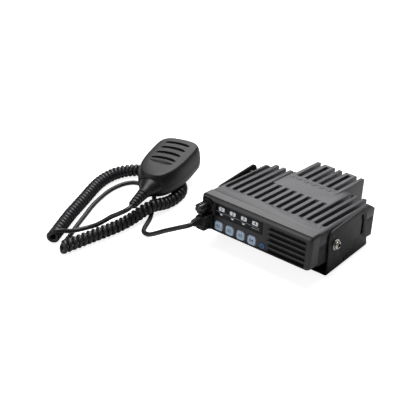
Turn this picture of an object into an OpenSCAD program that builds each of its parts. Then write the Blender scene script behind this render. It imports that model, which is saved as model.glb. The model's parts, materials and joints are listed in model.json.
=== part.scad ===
// Mobile transceiver in its mounting bracket, with a hand microphone on a curly cord.
// Row frame: +X right along the front, +Y to the rear, +Z up. The origin is the centre of
// the bracket's four floor holes, on the underside of its base. Millimetres.

/* [Radio body] */
// Width of the radio
body_w = 150; // [140:1:160]
// Height of the radio
body_h = 40; // [38:1:44]
// Front face to the rear of the side fins
body_d = 124.5; // [118:0.5:130]
// Front face to the rear of the middle fin block
block_end = 167.5; // [160:0.5:175]
// Depth of the moulded front panel
panel_d = 15.4; // [14:0.2:18]
// Height of the joint between lower chassis and heat sink
seam_w = 24; // [22:0.5:26]
// Wall thickness of the castings
wall = 2.5; // [2:0.1:3]

/* [Heat sink] */
// Spacing of the fins
fin_pitch = 10.15; // [10:0.05:10.3]
// Width of a slot between fins
slot_w = 5.1; // [4.4:0.1:5.6]
// Front face to the front ends of the slots
slot_start = 32.5; // [30:0.5:36]
// Depth of the slots between fins
slot_depth = 10; // [8:0.5:11]
// Front face to the front edge of the raised middle plate
plate_start = 76.5; // [72:0.5:80]
// Front face to the front edge of the raised rear block
block_start = 113; // [110:0.5:114]

/* [Bracket] */
// Thickness of the bracket's steel
steel = 2; // [1.6:0.1:2]
// Depth of the bracket, front to rear
bracket_d = 78; // [74:1:80]
// Height of the bracket's ears
ear_h = 55; // [52:1:58]
// Height of the tilt axis above the floor
pivot_z = 35.3; // [35:0.1:36]
// Nose-up tilt of the radio as it stands
tilt = 6.6; // [4:0.2:8]
// Spacing of the floor holes across the bracket
hole_dx = 110; // [90:5:120]
// Spacing of the floor holes front to rear
hole_dy = 46; // [40:2:50]

/* [Front controls] */
// Diameter of the volume knob
knob_dia = 12.4; // [11:0.2:12.6]
// Size of a square key
key_size = 10; // [9:0.2:10.4]
// Spacing of the keys
key_pitch = 15.3; // [15:0.1:15.6]
// Diameter of the power button
power_dia = 6.4; // [6:0.2:7]

/* [Hand microphone] */
// Width of the microphone's case
mic_w = 55; // [52:1:58]
// Thickness of the microphone's case
mic_t = 31; // [29:1:32]
// Height of the joint between its rear and front cases
mic_seam = 12; // [11:0.5:13]
// Turn of the microphone on the floor, about the vertical
mic_yaw = 15.8; // [14:0.2:17]

/* [Cord] */
// Diameter of the cord
cord_dia = 5.4; // [5:0.1:5.4]
// Outer diameter of the cord's coil
coil_dia = 15.6; // [15:0.2:15.6]

/* [Hidden] */
$fn = 48;

half_w = body_w / 2;
pivot_y = -26;          // tilt axis, in the row frame
pivot_v = 43.4;         // tilt axis behind the radio's front face
pivot_w = 18.4;         // tilt axis above the radio's underside
pivot_r = 2.5;          // pivot screw's shank
slot_r = 53.5;          // curved slot's distance from the tilt axis
slot_half = 2.2;        // half its width
slot_sweep = 11.5;      // half its sweep, in degrees
side_gap = 0.6;         // between the radio's side and a bracket ear
ear_in = half_w + side_gap;
ear_out = ear_in + steel;
slot_floor = body_h - slot_depth;
roof = 3;               // metal left under the slots
block_half = 3 * fin_pitch + 2.6;
block_floor = 12;       // underside of the rear block
block_top = body_h + 0.8;
tab_w = 4;              // tabs at the front ends of the block's fins
tab_len = 5;
face = 1.6;             // the panel's face lies this far behind its rim
face_t = 2.4;           // thickness of the panel's face
face_back = face + face_t;
key_x = [-48.2, -48.2 + key_pitch, -48.2 + 2 * key_pitch, -48.2 + 3 * key_pitch];
key_w = 6.8;            // height of the key centres
key_gap = 0.4;
power_x = 11.3;
power_w = 5.8;
knob_x = -67.6;
knob_w = 26.5;
knob_len = 14;
shaft_r = 3;
window_x0 = -56;
window_x1 = 9.6;
window_w0 = 18.6;
window_w1 = 32.6;
grille_x0 = 15;
grille_x1 = 67.5;
grille_n = 5;           // louvres of the speaker grille
grille_pitch = 6.65;
grille_w0 = 3.4;
louvre_half = 1.5;
side_screw_v = 21.6;     // side screws that hold the front panel to the chassis
side_screw_w = 18.6;
plug_x0 = -73;
plug_x1 = -57;
plug_w0 = 1.6;
plug_w1 = 17.6;
plug_front = -12.5;
antenna_x = 54;
antenna_w = 13.5;
inlet_x = -54;
inlet_w = 12;
jack_x = 37;
jack_w = 7;

mic_x = -177.3;         // middle of the microphone's back, in the row frame
mic_y = -11.4;
mic_z = coil_dia + 0.4; // it lies on the coil
mic_axis = 13.5;        // height of the cord's axis in the microphone
boot_end = -91;         // end of the microphone's boot, along its own axis

// The straight lead from the plug, on the floor after it has dropped from the plug.
plug_route = [
    [-66.2, -93.9, 37.5], [-66.5, -98.6, 37.7], [-70.4, -101.4, 36], [-77.8, -103.6, 32.4],
    [-86.7, -104.8, 27.4], [-97.3, -104.6, 21], [-107.7, -104.4, 14.2], [-116.5, -103.6, 8.4],
    [-123.7, -102.9, 4.4], [-130, -102, 2.9], [-135, -99.4, 2.8], [-138.2, -94.6, 2.8],
    [-140.6, -89.3, 2.8], [-145, -79, 2.8], [-150, -70, 2.8], [-156, -61, 2.8], [-163, -50, 2.8], [-171, -40, 2.8],
    [-181, -31, 2.8], [-193, -25, 2.8], [-206, -22, 2.8], [-217, -25, 2.8], [-224, -34, 2.8],
    [-227, -47, 2.8], [-227, -60, 2.8], [-225, -73, 2.8], [-222, -86, 2.8], [-218, -99, 2.8],
    [-213, -112, 2.8], [-208, -125, 2.8], [-203, -138, 2.8], [-198, -150, 2.8],
    [-193, -161, 2.8], [-189, -172, 2.8], [-184, -182, 2.8], [-177, -188, 2.8]
];
// The middle line of the coil, from its front left end round under the microphone and back.
coil_route = [
    [-177, -188, 8], [-173, -172, 8], [-169, -156, 8], [-165, -140, 8], [-161, -124, 8],
    [-158, -108, 8.4], [-156, -92, 9.8], [-154, -78, 12.4], [-152, -66, 13.4], [-150, -53, 10.9],
    [-149, -40, 8], [-149, -26, 8], [-153, -12, 8], [-163, -1, 8], [-177, 5, 8], [-193, 6, 8],
    [-209, 3, 8], [-224, -4, 8], [-236, -14, 8], [-243, -28, 8], [-245, -44, 8], [-243, -61, 8],
    [-238, -78, 8], [-232, -95, 8], [-226, -113, 8], [-220, -131, 8], [-213, -149, 8],
    [-206, -166, 8], [-200, -181, 8]
];
// The straight lead from the back left end of the coil up to the microphone's boot.
mic_route = [
    [-202, -182, 13.4], [-197, -179, 17], [-194, -172, 15.5], [-192.5, -163, 11], [-191, -154, 8],
    [-188, -145, 7], [-184, -137, 7.2], [-179, -130.5, 9], [-173, -125, 13.5], [-166, -120, 19.5],
    [-159, -115.5, 24], [-153.5, -110.5, 27.5], [-151.6, -105, 29.2], [-152.4, -99.5, 29.5]
];

// Sweeps a round tube along a route that never stands upright.
function unit(a) = a / norm(a);
function along(p, i) = unit(p[min(i + 1, len(p) - 1)] - p[max(i - 1, 0)]);
function ring(p, i, r, n) =
    let (t = along(p, i), s = unit(cross(t, [0, 0, 1])), u = cross(s, t))
    [for (k = [0 : n - 1]) p[i] + r * (cos(360 * k / n) * s + sin(360 * k / n) * u)];
module tube(p, r, n) {
    last = len(p) - 1;
    points = [for (i = [0 : last]) each ring(p, i, r, n)];
    sides = [for (i = [0 : last - 1], k = [0 : n - 1])
        [i * n + k, (i + 1) * n + k, (i + 1) * n + (k + 1) % n, i * n + (k + 1) % n]];
    ends = [[for (k = [0 : n - 1]) k], [for (k = [n - 1 : -1 : 0]) last * n + k]];
    polyhedron(points, concat(sides, ends), convexity = 10);
}

// Extrusions along the three axes of the radio: u across, v back, w up.
module prism_u(u0, u1) translate([u0, 0, 0]) rotate([90, 0, 90]) linear_extrude(u1 - u0) children();
module prism_v(v0, v1) translate([0, v1, 0]) rotate([90, 0, 0]) linear_extrude(v1 - v0) children();
module block(a, b) translate(a) cube(b - a);
module rod_v(u, w, v0, v1, r) translate([u, v0, w]) rotate([-90, 0, 0]) cylinder(h = v1 - v0, r = r);
module rod_u(v, w, u0, u1, r) translate([u0, v, w]) rotate([0, 90, 0]) cylinder(h = u1 - u0, r = r);

module on_radio() {
    translate([0, pivot_y, pivot_z]) rotate([-tilt, 0, 0]) translate([0, -pivot_v, -pivot_w]) children();
}
module on_mic() translate([mic_x, mic_y, mic_z]) rotate([0, 0, mic_yaw]) children();

// A flat outline with its corners rounded.
module round_rect(a, b, r) {
    translate([a.x + r, a.y]) square([b.x - a.x - 2 * r, b.y - a.y]);
    translate([a.x, a.y + r]) square([b.x - a.x, b.y - a.y - 2 * r]);
    for (x = [a.x + r, b.x - r], y = [a.y + r, b.y - r]) translate([x, y]) circle(r);
}

// ---- bracket ----
function arc(c, r, a0, a1, n) =
    [for (i = [0 : n]) let (a = a0 + (a1 - a0) * i / n) c + r * [cos(a), sin(a)]];
module ear_outline() {
    front = -bracket_d / 2;
    rear = bracket_d / 2;
    polygon(concat(
        [[front, 0], [rear, 0]],
        arc([rear - 12, ear_h - 9], 9, 10, 90, 6),
        arc([front + 9, ear_h - 9], 9, 90, 180, 6)));
}
module tilt_slot() {
    reach = 1.5 * slot_r;
    for (a = [-slot_sweep, slot_sweep]) rotate(a) translate([slot_r, 0]) circle(slot_half);
    intersection() {
        difference() {
            circle(slot_r + slot_half);
            circle(slot_r - slot_half);
        }
        polygon([[0, 0], reach * [cos(slot_sweep), -sin(slot_sweep)],
            reach * [cos(slot_sweep), sin(slot_sweep)]]);
    }
}
module ear(u0, u1) {
    difference() {
        prism_u(u0, u1) difference() {
            ear_outline();
            translate([pivot_y, pivot_z]) tilt_slot();
        }
        rod_u(pivot_y, pivot_z, u0 - 1, u1 + 1, pivot_r + 0.08);
        rod_u(-7.5, 7, u0 - 1, u1 + 1, 1.6);
    }
}
module bracket() {
    color("#2F2E31") {
        difference() {
            block([-ear_in, -bracket_d / 2, 0], [ear_in, bracket_d / 2, steel]);
            for (x = [-1, 1], y = [-1, 1]) translate([x * hole_dx / 2, y * hole_dy / 2, -1])
                cylinder(h = steel + 2, r = 2.7);
        }
        ear(ear_in, ear_out);
        ear(-ear_out, -ear_in);
    }
}

// ---- lower chassis and heat sink ----
module lower_chassis() {
    color("#36353A") on_radio() difference() {
        union() {
            difference() {
                block([-half_w, panel_d + 0.4, 0], [half_w, body_d, seam_w]);
                block([-half_w + wall, panel_d - 1, 2], [half_w - wall, body_d - wall, seam_w + 1]);
            }
            for (u0 = [-half_w, half_w - 9]) rod_u(pivot_v, pivot_w, u0, u0 + 9, 5.4);
            for (x = [-60, 60], y = [28, 112]) translate([x, y, 1]) cylinder(h = 9, r = 3.4);
        }
        rod_u(pivot_v, pivot_w, -half_w - 1, -half_w + 12, pivot_r + 0.05);
        rod_u(pivot_v, pivot_w, half_w - 12, half_w + 1, pivot_r + 0.05);
        rod_v(antenna_x, antenna_w, body_d - 4, body_d + 1, 8.2);
        rod_v(jack_x, jack_w, body_d - 4, body_d + 1, 3.4);
        block([inlet_x - 10.2, body_d - 4, inlet_w - 5.2], [inlet_x + 10.2, body_d + 1, inlet_w + 5.2]);
        for (x = [-60, 60], y = [28, 112]) translate([x, y, -1]) cylinder(h = 12, r = 1.55);
        for (x = [-60, 60], y = [28, 112]) translate([x, y, -0.01]) cylinder(h = 1.4, r1 = 3, r2 = 1.6);
        for (s = [-1, 1]) {
            rod_u(pivot_v + slot_r, pivot_w, s * half_w - 4, s * half_w + 4, 2.1);
            rod_u(side_screw_v, side_screw_w, s * half_w - 4, s * half_w + 4, 1.4);
        }
        for (u0 = [-half_w - 0.9, half_w - 1.1]) rod_u(side_screw_v, side_screw_w, u0, u0 + 2, 2.4);
    }
}
// One slot between fins: round front end, flat floor, and a ramp up at a closed rear end.
module fin_slot(u, v0, v1, floor_w, ramp) {
    top = body_h + 1;
    prism_u(u - slot_w / 2, u + slot_w / 2)
        polygon([[v0 + slot_w / 2, floor_w], [v1 - ramp, floor_w], [v1, top], [v0 + slot_w / 2, top]]);
    translate([u, v0 + slot_w / 2, floor_w]) cylinder(h = top - floor_w, r = slot_w / 2);
}
module heat_sink() {
    color("#857F83") on_radio() difference() {
        union() {
            prism_v(panel_d + 0.4, body_d) polygon([[-half_w, seam_w], [half_w, seam_w], [half_w, body_h - 5],
                [half_w - 1.4, body_h - 1.6], [half_w - 5, body_h], [5 - half_w, body_h],
                [1.4 - half_w, body_h - 1.6], [-half_w, body_h - 5]]);
            block([-block_half, block_start, body_h - 2], [block_half, block_end, block_top]);
            block([-block_half, body_d - 8, seam_w], [block_half, block_end, body_h]);
            block([-block_half, body_d + 0.4, block_floor], [block_half, block_end, seam_w + 1]);
            for (i = [0 : 6]) block([(i - 3) * fin_pitch - tab_w / 2, block_start - tab_len, body_h - 2],
                [(i - 3) * fin_pitch + tab_w / 2, block_start + 1, block_top]);
        }
        block([-half_w + 3, panel_d - 1, seam_w - 1], [half_w - 3, 106, slot_floor - roof]);
        block([-half_w + 3, 105.9, seam_w - 1], [-block_half - 1, body_d - 3, slot_floor - roof]);
        block([block_half + 1, 105.9, seam_w - 1], [half_w - 3, body_d - 3, slot_floor - roof]);
        for (i = [0 : 13]) {
            closed = i > 2 && i < 11;
            fin_slot((i - 6.5) * fin_pitch, slot_start, closed ? plate_start + 6 : body_d + 2,
                slot_floor, closed ? 6 : 0);
        }
        block([-3.5 * fin_pitch - 2.4, plate_start, body_h - 4],
            [-3.5 * fin_pitch - 1.2, body_d + 1, body_h + 1]);
        for (i = [0 : 5]) {
            closed = i == 1 || i == 4;
            x = (i - 2.5) * fin_pitch;
            rear = closed ? block_end - 4.5 : block_end + 2;
            block([x - slot_w / 2, block_start + 4, slot_floor], [x + slot_w / 2, rear, block_top + 1]);
            block([x - slot_w / 2, body_d + 3, closed ? block_floor + 3 : block_floor - 1],
                [x + slot_w / 2, rear, slot_floor + 1]);
        }
        for (u0 = [-half_w - 1, half_w - 6.5]) prism_u(u0, u0 + 7.5) polygon([[body_d - 9, body_h + 1],
            [body_d - 9, body_h], [body_d, body_h - 6], [body_d + 1, body_h + 1]]);
    }
}

// ---- front panel ----
module front_panel() {
    color("#3A3A3E") on_radio() difference() {
        prism_v(0, panel_d) round_rect([-half_w, 0], [half_w, body_h], 3.6);
        prism_u(-half_w - 1, half_w + 1) polygon([[-1, body_h - 5], [0, body_h - 4.6],
            [2.4, body_h], [2.4, body_h + 1], [-1, body_h + 1]]);
        for (s = [0, 1]) mirror([s, 0, 0]) translate([0, 0, -1]) linear_extrude(body_h + 2)
            polygon([[half_w - 2.4, -1], [half_w - 2.4, 0], [half_w, 2.4],
                [half_w + 1, 2.4], [half_w + 1, -1]]);
        block([-57, -1, 1.6], [grille_x1 + 0.8, face, 34.6]);
        block([-73, -1, 1.6], [-58.6, face + 0.8, 37]);
        block([plug_x0, -1, 1.6], [plug_x1 + 0.3, face + 0.8, plug_w1 + 0.3]);
        prism_v(face_back, panel_d + 1) round_rect([2 - half_w, 1.8], [half_w - 2, body_h - 2], 2.4);
        hole = key_size / 2 + key_gap;
        for (x = key_x) prism_v(-1, 6) round_rect([x - hole, key_w - hole], [x + hole, key_w + hole], 2.4);
        rod_v(power_x, power_w, -1, 6, power_dia / 2 + key_gap);
        rod_v(knob_x, knob_w, -1, 6, 4.1);
        block([window_x0 + 1.6, -1, window_w0 + 1.6], [window_x1 - 1.6, 6, window_w1 - 1.6]);
        block([window_x0 - 0.1, -1, window_w0 - 0.1], [window_x1 + 0.1, face + 1.1, window_w1 + 0.1]);
        block([plug_x0 + 2.4, -1, plug_w0 + 2.4], [plug_x1 - 2.4, 6, plug_w1 - 2.4]);
        for (i = [0 : grille_n - 1]) block([grille_x0 + 5.5, -1, grille_w0 + i * grille_pitch - louvre_half],
            [grille_x1 - 0.6, 6, grille_w0 + i * grille_pitch + louvre_half]);
    }
    color("#3A3A3E") on_radio() for (s = [0, 1]) mirror([s, 0, 0]) difference() {
        union() {
            block([half_w - 4.4, 13.6, side_screw_w - 5], [half_w - 1.5, panel_d - 0.2, side_screw_w + 5]);
            block([half_w - 4.4, 13.6, side_screw_w - 5], [half_w - wall - 0.2, 26, side_screw_w + 5]);
        }
        rod_u(side_screw_v, side_screw_w, half_w - 6, half_w, 1.3);
    }
}
module panel_gasket() {
    color("#1B1B1D") on_radio() difference() {
        prism_v(panel_d, panel_d + 0.4) round_rect([0.5 - half_w, 0.5], [half_w - 0.5, body_h - 0.8], 3.2);
        prism_v(panel_d - 1, panel_d + 1) round_rect([2.6 - half_w, 2.6], [half_w - 2.6, body_h - 3], 2);
    }
}
module display_window() {
    color("#101013") on_radio()
        block([window_x0, face, window_w0], [window_x1, face + 1, window_w1]);
}
module lamp_strip() {
    color("#E9EEF4") on_radio() {
        for (i = [0 : 3]) block([key_x[i] - 2.8, face + 1.1, 26.2], [key_x[i] + 4.4, face + 2.3, 30.6]);
        for (i = [0 : 2]) block([key_x[i] - 0.8, face + 1.1, 21.4], [key_x[i] + 2.4, face + 2.3, 23]);
    }
}
module speaker_frame() {
    color("#8C8C8C") on_radio() difference() {
        rod_v(41.2, 18.2, 5.4, 13.8, 15);
        rod_v(41.2, 18.2, 5, 12.6, 13.8);
        rod_v(41.2, 18.2, 12, 14, 8.1);
    }
}
module speaker_cone() {
    color("#2A2A2C") on_radio() difference() {
        translate([41.2, 5.5, 18.2]) rotate([-90, 0, 0]) cylinder(h = 6.6, r1 = 13.6, r2 = 5);
        translate([41.2, 5.49, 18.2]) rotate([-90, 0, 0]) cylinder(h = 6, r1 = 13, r2 = 4.4);
    }
}
module speaker_magnet() color("#5A5A5E") on_radio() rod_v(41.2, 18.2, 12.8, 21, 7.9);
module speaker_felt() {
    color("#141415") on_radio()
        block([grille_x0 + 0.2, face_back + 0.1, 2.6], [grille_x1 + 1, face_back + 0.9, 34]);
}
module front_board() {
    color("#1E5A36") on_radio() difference() {
        block([-56.4, 8.6, 3], [18.5, 10, 36.4]);
        block([-50, 8, 12.9], [-38, 11, 16]);
    }
}
module main_board() {
    color("#1E5A36") on_radio() difference() {
        block([-70, 22, 10.2], [70, 118, 11.8]);
        for (x = [-60, 60], y = [28, 112]) translate([x, y, 9]) cylinder(h = 4, r = 1.6);
    }
}
module ribbon_cable() {
    color("#D9D4C4") on_radio() prism_u(-34, -10) polygon([[10.05, 20], [14, 20], [18, 15], [24, 13.4],
        [30, 12.4], [30, 11.85], [24, 12.8], [17.6, 14.4], [13.6, 19.4], [10.05, 19.4]]);
}
module power_module() {
    color("#B9BCC2") on_radio() {
        block([10, 60, 14], [58, 84, slot_floor - roof - 0.1]);
        for (i = [0 : 4]) block([16 + i * 8, 56, 13], [17 + i * 8, 60, 14.4]);
    }
}
module shield_cans() {
    color("#C9CCD0") on_radio() {
        block([-60, 40, 11.85], [-24, 78, 18]);
        block([-60, 84, 11.85], [-30, 104, 17]);
        block([-14, 90, 11.85], [26, 104, 17]);
    }
}
module capacitors() {
    color("#22306A") on_radio() for (x = [-16, -4], y = [50, 64]) translate([x, y, 11.85])
        cylinder(h = 11, r = 4.4);
}

// ---- controls ----
module volume_pot() {
    color("#A8A8AC") on_radio() difference() {
        union() {
            block([knob_x - 5, 4.4, knob_w - 6], [knob_x + 5, 11, knob_w + 6]);
            rod_v(knob_x, knob_w, 1, 4.5, 4);
        }
        rod_v(knob_x, knob_w, 0, 9.2, shaft_r + 0.06);
    }
}
module volume_shaft() {
    color("#B8B8BC") on_radio() rod_v(knob_x, knob_w, -8, 9, shaft_r);
}
module volume_knob() {
    color("#17171A") on_radio() difference() {
        union() {
            rod_v(knob_x, knob_w, -knob_len, -0.4, knob_dia / 2 - 0.6);
            rod_v(knob_x, knob_w, -0.5, 0.4, 4.6);
            for (a = [0 : 45 : 315]) translate([knob_x, 0, knob_w]) rotate([0, a, 0])
                block([-1.5, 1 - knob_len, 0], [1.5, -0.6, knob_dia / 2]);
        }
        rod_v(knob_x, knob_w, -8.1, 1, shaft_r);
    }
}
module key_mat() {
    color("#C8CCD2") on_radio() {
        block([-55.4, 4.6, 1.9], [14.2, 5.6, 12.6]);
        for (x = key_x) rod_v(x, key_w, 5.5, 8.4, 2);
        rod_v(power_x, power_w, 5.5, 8.4, 1.6);
    }
}
// A key stands 0.6 mm proud of the face and travels 0.6 mm before it reaches the mat.
module key(n) {
    half = key_size / 2;
    x = key_x[n - 1];
    color("#A9B8CC") on_radio() prism_v(0.9, 3.9)
        round_rect([x - half, key_w - half], [x + half, key_w + half], 2.2);
}
module key_1() key(1);
module key_2() key(2);
module key_3() key(3);
module key_4() key(4);
module power_button() {
    color("#3F6FB0") on_radio() rod_v(power_x, power_w, 0.9, 3.9, power_dia / 2);
}

// ---- connectors ----
module mic_jack() {
    color("#202022") on_radio() difference() {
        block([plug_x0 + 1.2, face_back + 0.3, plug_w0 + 1.6], [plug_x1 - 0.4, 13.2, plug_w1 - 0.2]);
        block([plug_x0 + 2.5, face_back, plug_w0 + 2.5], [plug_x1 - 2.5, 11.6, plug_w1 - 2.5]);
    }
}
module mic_plug() {
    color("#1B1B1D") on_radio() {
        block([plug_x0, plug_front, plug_w0], [plug_x1, face + 0.6, plug_w1]);
        block([plug_x0 + 2.7, face + 0.5, plug_w0 + 2.7], [plug_x1 - 2.7, 10.6, plug_w1 - 2.7]);
    }
}
module plug_boot() {
    color("#151517") on_radio() translate([-66.2, plug_front + 1, 12.8]) rotate([90, 0, 0]) {
        cylinder(h = 8.4, r1 = 5.2, r2 = 4);
        translate([0, 0, 8.3]) cylinder(h = 2, r = 4.4);
        translate([0, 0, 10.2]) cylinder(h = 1.9, r = 3.3);
    }
}
module antenna_connector() {
    color("#C4C6CA") on_radio() difference() {
        union() {
            block([antenna_x - 12.5, body_d + 0.1, antenna_w - 11.3],
                [antenna_x + 12.5, body_d + 1.9, antenna_w + 12.5]);
            rod_v(antenna_x, antenna_w, body_d + 1, body_d + 14, 7.94);
            rod_v(antenna_x, antenna_w, body_d - 3.5, body_d + 1, 7.9);
        }
        rod_v(antenna_x, antenna_w, body_d + 4, body_d + 15, 6);
        rod_v(antenna_x, antenna_w, body_d - 4, body_d + 5, 5);
    }
}
module antenna_centre() {
    color("#E8E4D8") on_radio() difference() {
        union() {
            rod_v(antenna_x, antenna_w, body_d - 3.4, body_d + 5, 4.9);
            rod_v(antenna_x, antenna_w, body_d - 6, body_d + 12, 3);
        }
        rod_v(antenna_x, antenna_w, body_d + 2, body_d + 13, 2);
    }
}
module power_inlet() {
    color("#E6E2D4") on_radio() {
        difference() {
            block([inlet_x - 10, body_d - 6, inlet_w - 5], [inlet_x + 10, body_d + 6, inlet_w + 5]);
            block([inlet_x - 8.6, body_d - 4, inlet_w - 3.6], [inlet_x + 8.6, body_d + 7, inlet_w + 3.6]);
        }
        for (x = [-4.2, 4.2]) rod_v(inlet_x + x, inlet_w, body_d - 4.1, body_d + 3, 1.1);
    }
}
module speaker_jack() {
    color("#29292C") on_radio() difference() {
        union() {
            rod_v(jack_x, jack_w, body_d - 3, body_d + 2, 3.3);
            block([jack_x - 4, body_d - 14, jack_w - 4], [jack_x + 4, body_d - 2.9, jack_w + 3]);
        }
        rod_v(jack_x, jack_w, body_d - 12, body_d + 3, 1.8);
    }
}

// ---- fasteners ----
module cover_screws() {
    color("#6E6E72") on_radio() for (x = [-60, 60], y = [28, 112]) translate([x, y, 0.05]) difference() {
        union() {
            cylinder(h = 1.2, r1 = 2.8, r2 = 1.5);
            translate([0, 0, 1.1]) cylinder(h = 8, r = 1.5);
        }
        for (a = [0, 90]) rotate(a) block([-1.4, -0.3, -0.1], [1.4, 0.3, 0.7]);
    }
}
module panel_screws() {
    color("#2A2A2C") on_radio() for (s = [0, 1]) mirror([s, 0, 0]) difference() {
        union() {
            rod_u(side_screw_v, side_screw_w, half_w - 6, half_w - 0.9, 1.25);
            rod_u(side_screw_v, side_screw_w, half_w - 1, half_w + 0.3, 2.2);
        }
        for (a = [0, 90]) translate([half_w - 0.4, side_screw_v, side_screw_w]) rotate([a, 0, 0])
            block([0, -1.3, -0.3], [1, 1.3, 0.3]);
    }
}
module pivot_screw(s) {
    head = ear_out + 1.35;
    mirror([s < 0 ? 1 : 0, 0, 0]) difference() {
        union() {
            rod_u(pivot_v, pivot_w, half_w - 8, head + 0.1, pivot_r);
            rod_u(pivot_v, pivot_w, head, head + 2.2, 5);
            translate([head + 2.2, pivot_v, pivot_w]) rotate([0, 90, 0]) cylinder(h = 1.2, r1 = 5, r2 = 3.4);
        }
        for (a = [0, 90]) translate([head + 1.2, pivot_v, pivot_w]) rotate([a, 0, 0])
            block([0, -2.8, -0.55], [3, 2.8, 0.55]);
    }
}
module pivot_screws() color("#C7C8CC") on_radio() for (s = [-1, 1]) pivot_screw(s);
module pivot_washers() {
    color("#B4B6BA") on_radio() for (s = [-1, 1]) mirror([s < 0 ? 1 : 0, 0, 0]) difference() {
        rod_u(pivot_v, pivot_w, ear_out + 0.3, ear_out + 1.3, 6.4);
        rod_u(pivot_v, pivot_w, ear_out, ear_out + 2, pivot_r + 0.06);
    }
}

// ---- cord ----
module plug_lead() color("#3E3D41") tube(plug_route, cord_dia / 2, 8);
module coiled_cord() color("#3A393D") tube(coil_route, coil_dia / 2, 12);
module mic_lead() color("#3E3D41") tube(mic_route, cord_dia / 2, 8);

// ---- hand microphone: x across, y from the cord's end to the top, z from back to face ----
// An outline that is widest at the top and draws in towards the cord.
module mic_slice(z, half, top, corner, low, low_half) {
    for (s = [-1, 1]) translate([s * (half - corner), top - corner, z])
        cylinder(h = 0.1, r = corner, $fn = 32);
    for (s = [-1, 1]) translate([s * (half - 14), -2, z]) cylinder(h = 0.1, r = 14, $fn = 32);
    for (s = [-1, 1]) translate([s * (low_half - 5), low + 5, z]) cylinder(h = 0.1, r = 5, $fn = 32);
}
module front_solid(inset) {
    hull() {
        mic_slice(mic_seam + 0.1, mic_w / 2 - inset, 54 - inset, 14, -44 + inset, 17 - inset);
        mic_slice(mic_t - 4 - inset, mic_w / 2 - 5 - inset, 51 - inset, 13, -42 + inset, 14 - inset);
        mic_slice(mic_t - 0.1 - inset, mic_w / 2 - 8 - inset, 47 - inset, 11, -38 + inset, 12 - inset);
    }
}
module rear_solid(inset) {
    hull() {
        mic_slice(mic_seam - 0.1, mic_w / 2 - inset, 54 - inset, 14, -44 + inset, 17 - inset);
        mic_slice(inset, mic_w / 2 - 5 - inset, 50 - inset, 14, -38 + inset, 14 - inset);
    }
}
module ptt_room(g) block([-30, -6 - g, 13.4 - g], [-17, 28 + g, 22.4 + g]);
module mic_front_case() {
    color("#3A393D") on_mic() difference() {
        front_solid(0);
        translate([0, 0, -0.2]) front_solid(2);
        ptt_room(0.5);
        for (i = [0 : 3]) block([-15.8 + i * 0.3, 33.6 - i * 13.2, mic_t - 4],
            [15.8 - i * 0.3, 36.4 - i * 13.2, mic_t + 1]);
        block([-9, -46, mic_axis - 8], [9, -37, mic_axis + 7.6]);
    }
}
module mic_rear_case() {
    color("#343338") on_mic() difference() {
        rear_solid(0);
        translate([0, 0, 0.2]) rear_solid(2);
        translate([0, 40, -1]) cylinder(h = 5, r = 2.1);
        for (x = [-16, 16]) translate([x, 46, -1]) cylinder(h = 5, r = 1.5);
        translate([0, -30, -1]) cylinder(h = 5, r = 1.5);
        block([-9, -46, mic_axis - 8], [9, -37, mic_axis + 7.6]);
    }
}
module cord_cap() {
    color("#37363A") on_mic() difference() {
        translate([0, 0, mic_axis]) rotate([90, 0, 0]) {
            translate([0, 0, 35]) cylinder(h = 12, r = 7.4);
            translate([0, 0, 46.9]) cylinder(h = 14.1, r1 = 7.4, r2 = 5.6);
        }
        translate([0, -34, mic_axis]) rotate([90, 0, 0]) cylinder(h = 30, r = 2.6);
    }
}
module mic_boot() {
    color("#2C2B2F") on_mic() translate([0, -61.1, mic_axis]) rotate([90, 0, 0]) difference() {
        union() {
            cylinder(h = -61.1 - boot_end, r1 = 5.2, r2 = 3.6);
            for (i = [0 : 4]) translate([0, 0, 3.4 + i * 5.6])
                cylinder(h = 2.6, r1 = 5.8 - i * 0.32, r2 = 5.6 - i * 0.32);
        }
        translate([0, 0, -1]) cylinder(h = 50, r = 2.5);
    }
}
module ptt_button() {
    color("#2E2D31") on_mic() difference() {
        intersection() {
            ptt_room(0);
            translate([-1.4, 0, 0]) front_solid(-0.2);
        }
        block([-19.6, -10, 0], [-10, 40, 40]);
    }
}
module ptt_switch() color("#B0B0B4") on_mic() block([-17.4, 6, 15], [-11, 14, 21]);
module mic_board() {
    color("#1E5A36") on_mic() difference() {
        block([-17, -28, 11.4], [17, 36, 12.8]);
        block([-17.1, 4, 11], [-10, 16, 13]);
    }
}
module mic_capsule() color("#C0C2C6") on_mic() translate([0, 22, 13]) cylinder(h = 8, r = 4.8);
module capsule_holder() {
    color("#1E1E20") on_mic() translate([0, 22, 13]) difference() {
        cylinder(h = 10, r = 7.6);
        translate([0, 0, -1]) cylinder(h = 12, r = 4.9);
    }
}
module mic_screen() color("#101011") on_mic() block([-17, -8, mic_t - 5.6], [17, 40, mic_t - 4.9]);
module hanger_stud() {
    color("#B9BABD") on_mic() translate([0, 40, 0]) {
        translate([0, 0, -6.6]) cylinder(h = 1.8, r = 6.6);
        translate([0, 0, -4.9]) cylinder(h = 4.8, r = 4);
        translate([0, 0, -0.2]) cylinder(h = 4.6, r = 2);
    }
}
module mic_screws() {
    color("#8E8E92") on_mic() {
        for (x = [-16, 16]) translate([x, 46, 0.1]) cylinder(h = 3, r = 1.4);
        translate([0, -30, 0.1]) cylinder(h = 6, r = 1.4);
    }
}

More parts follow.
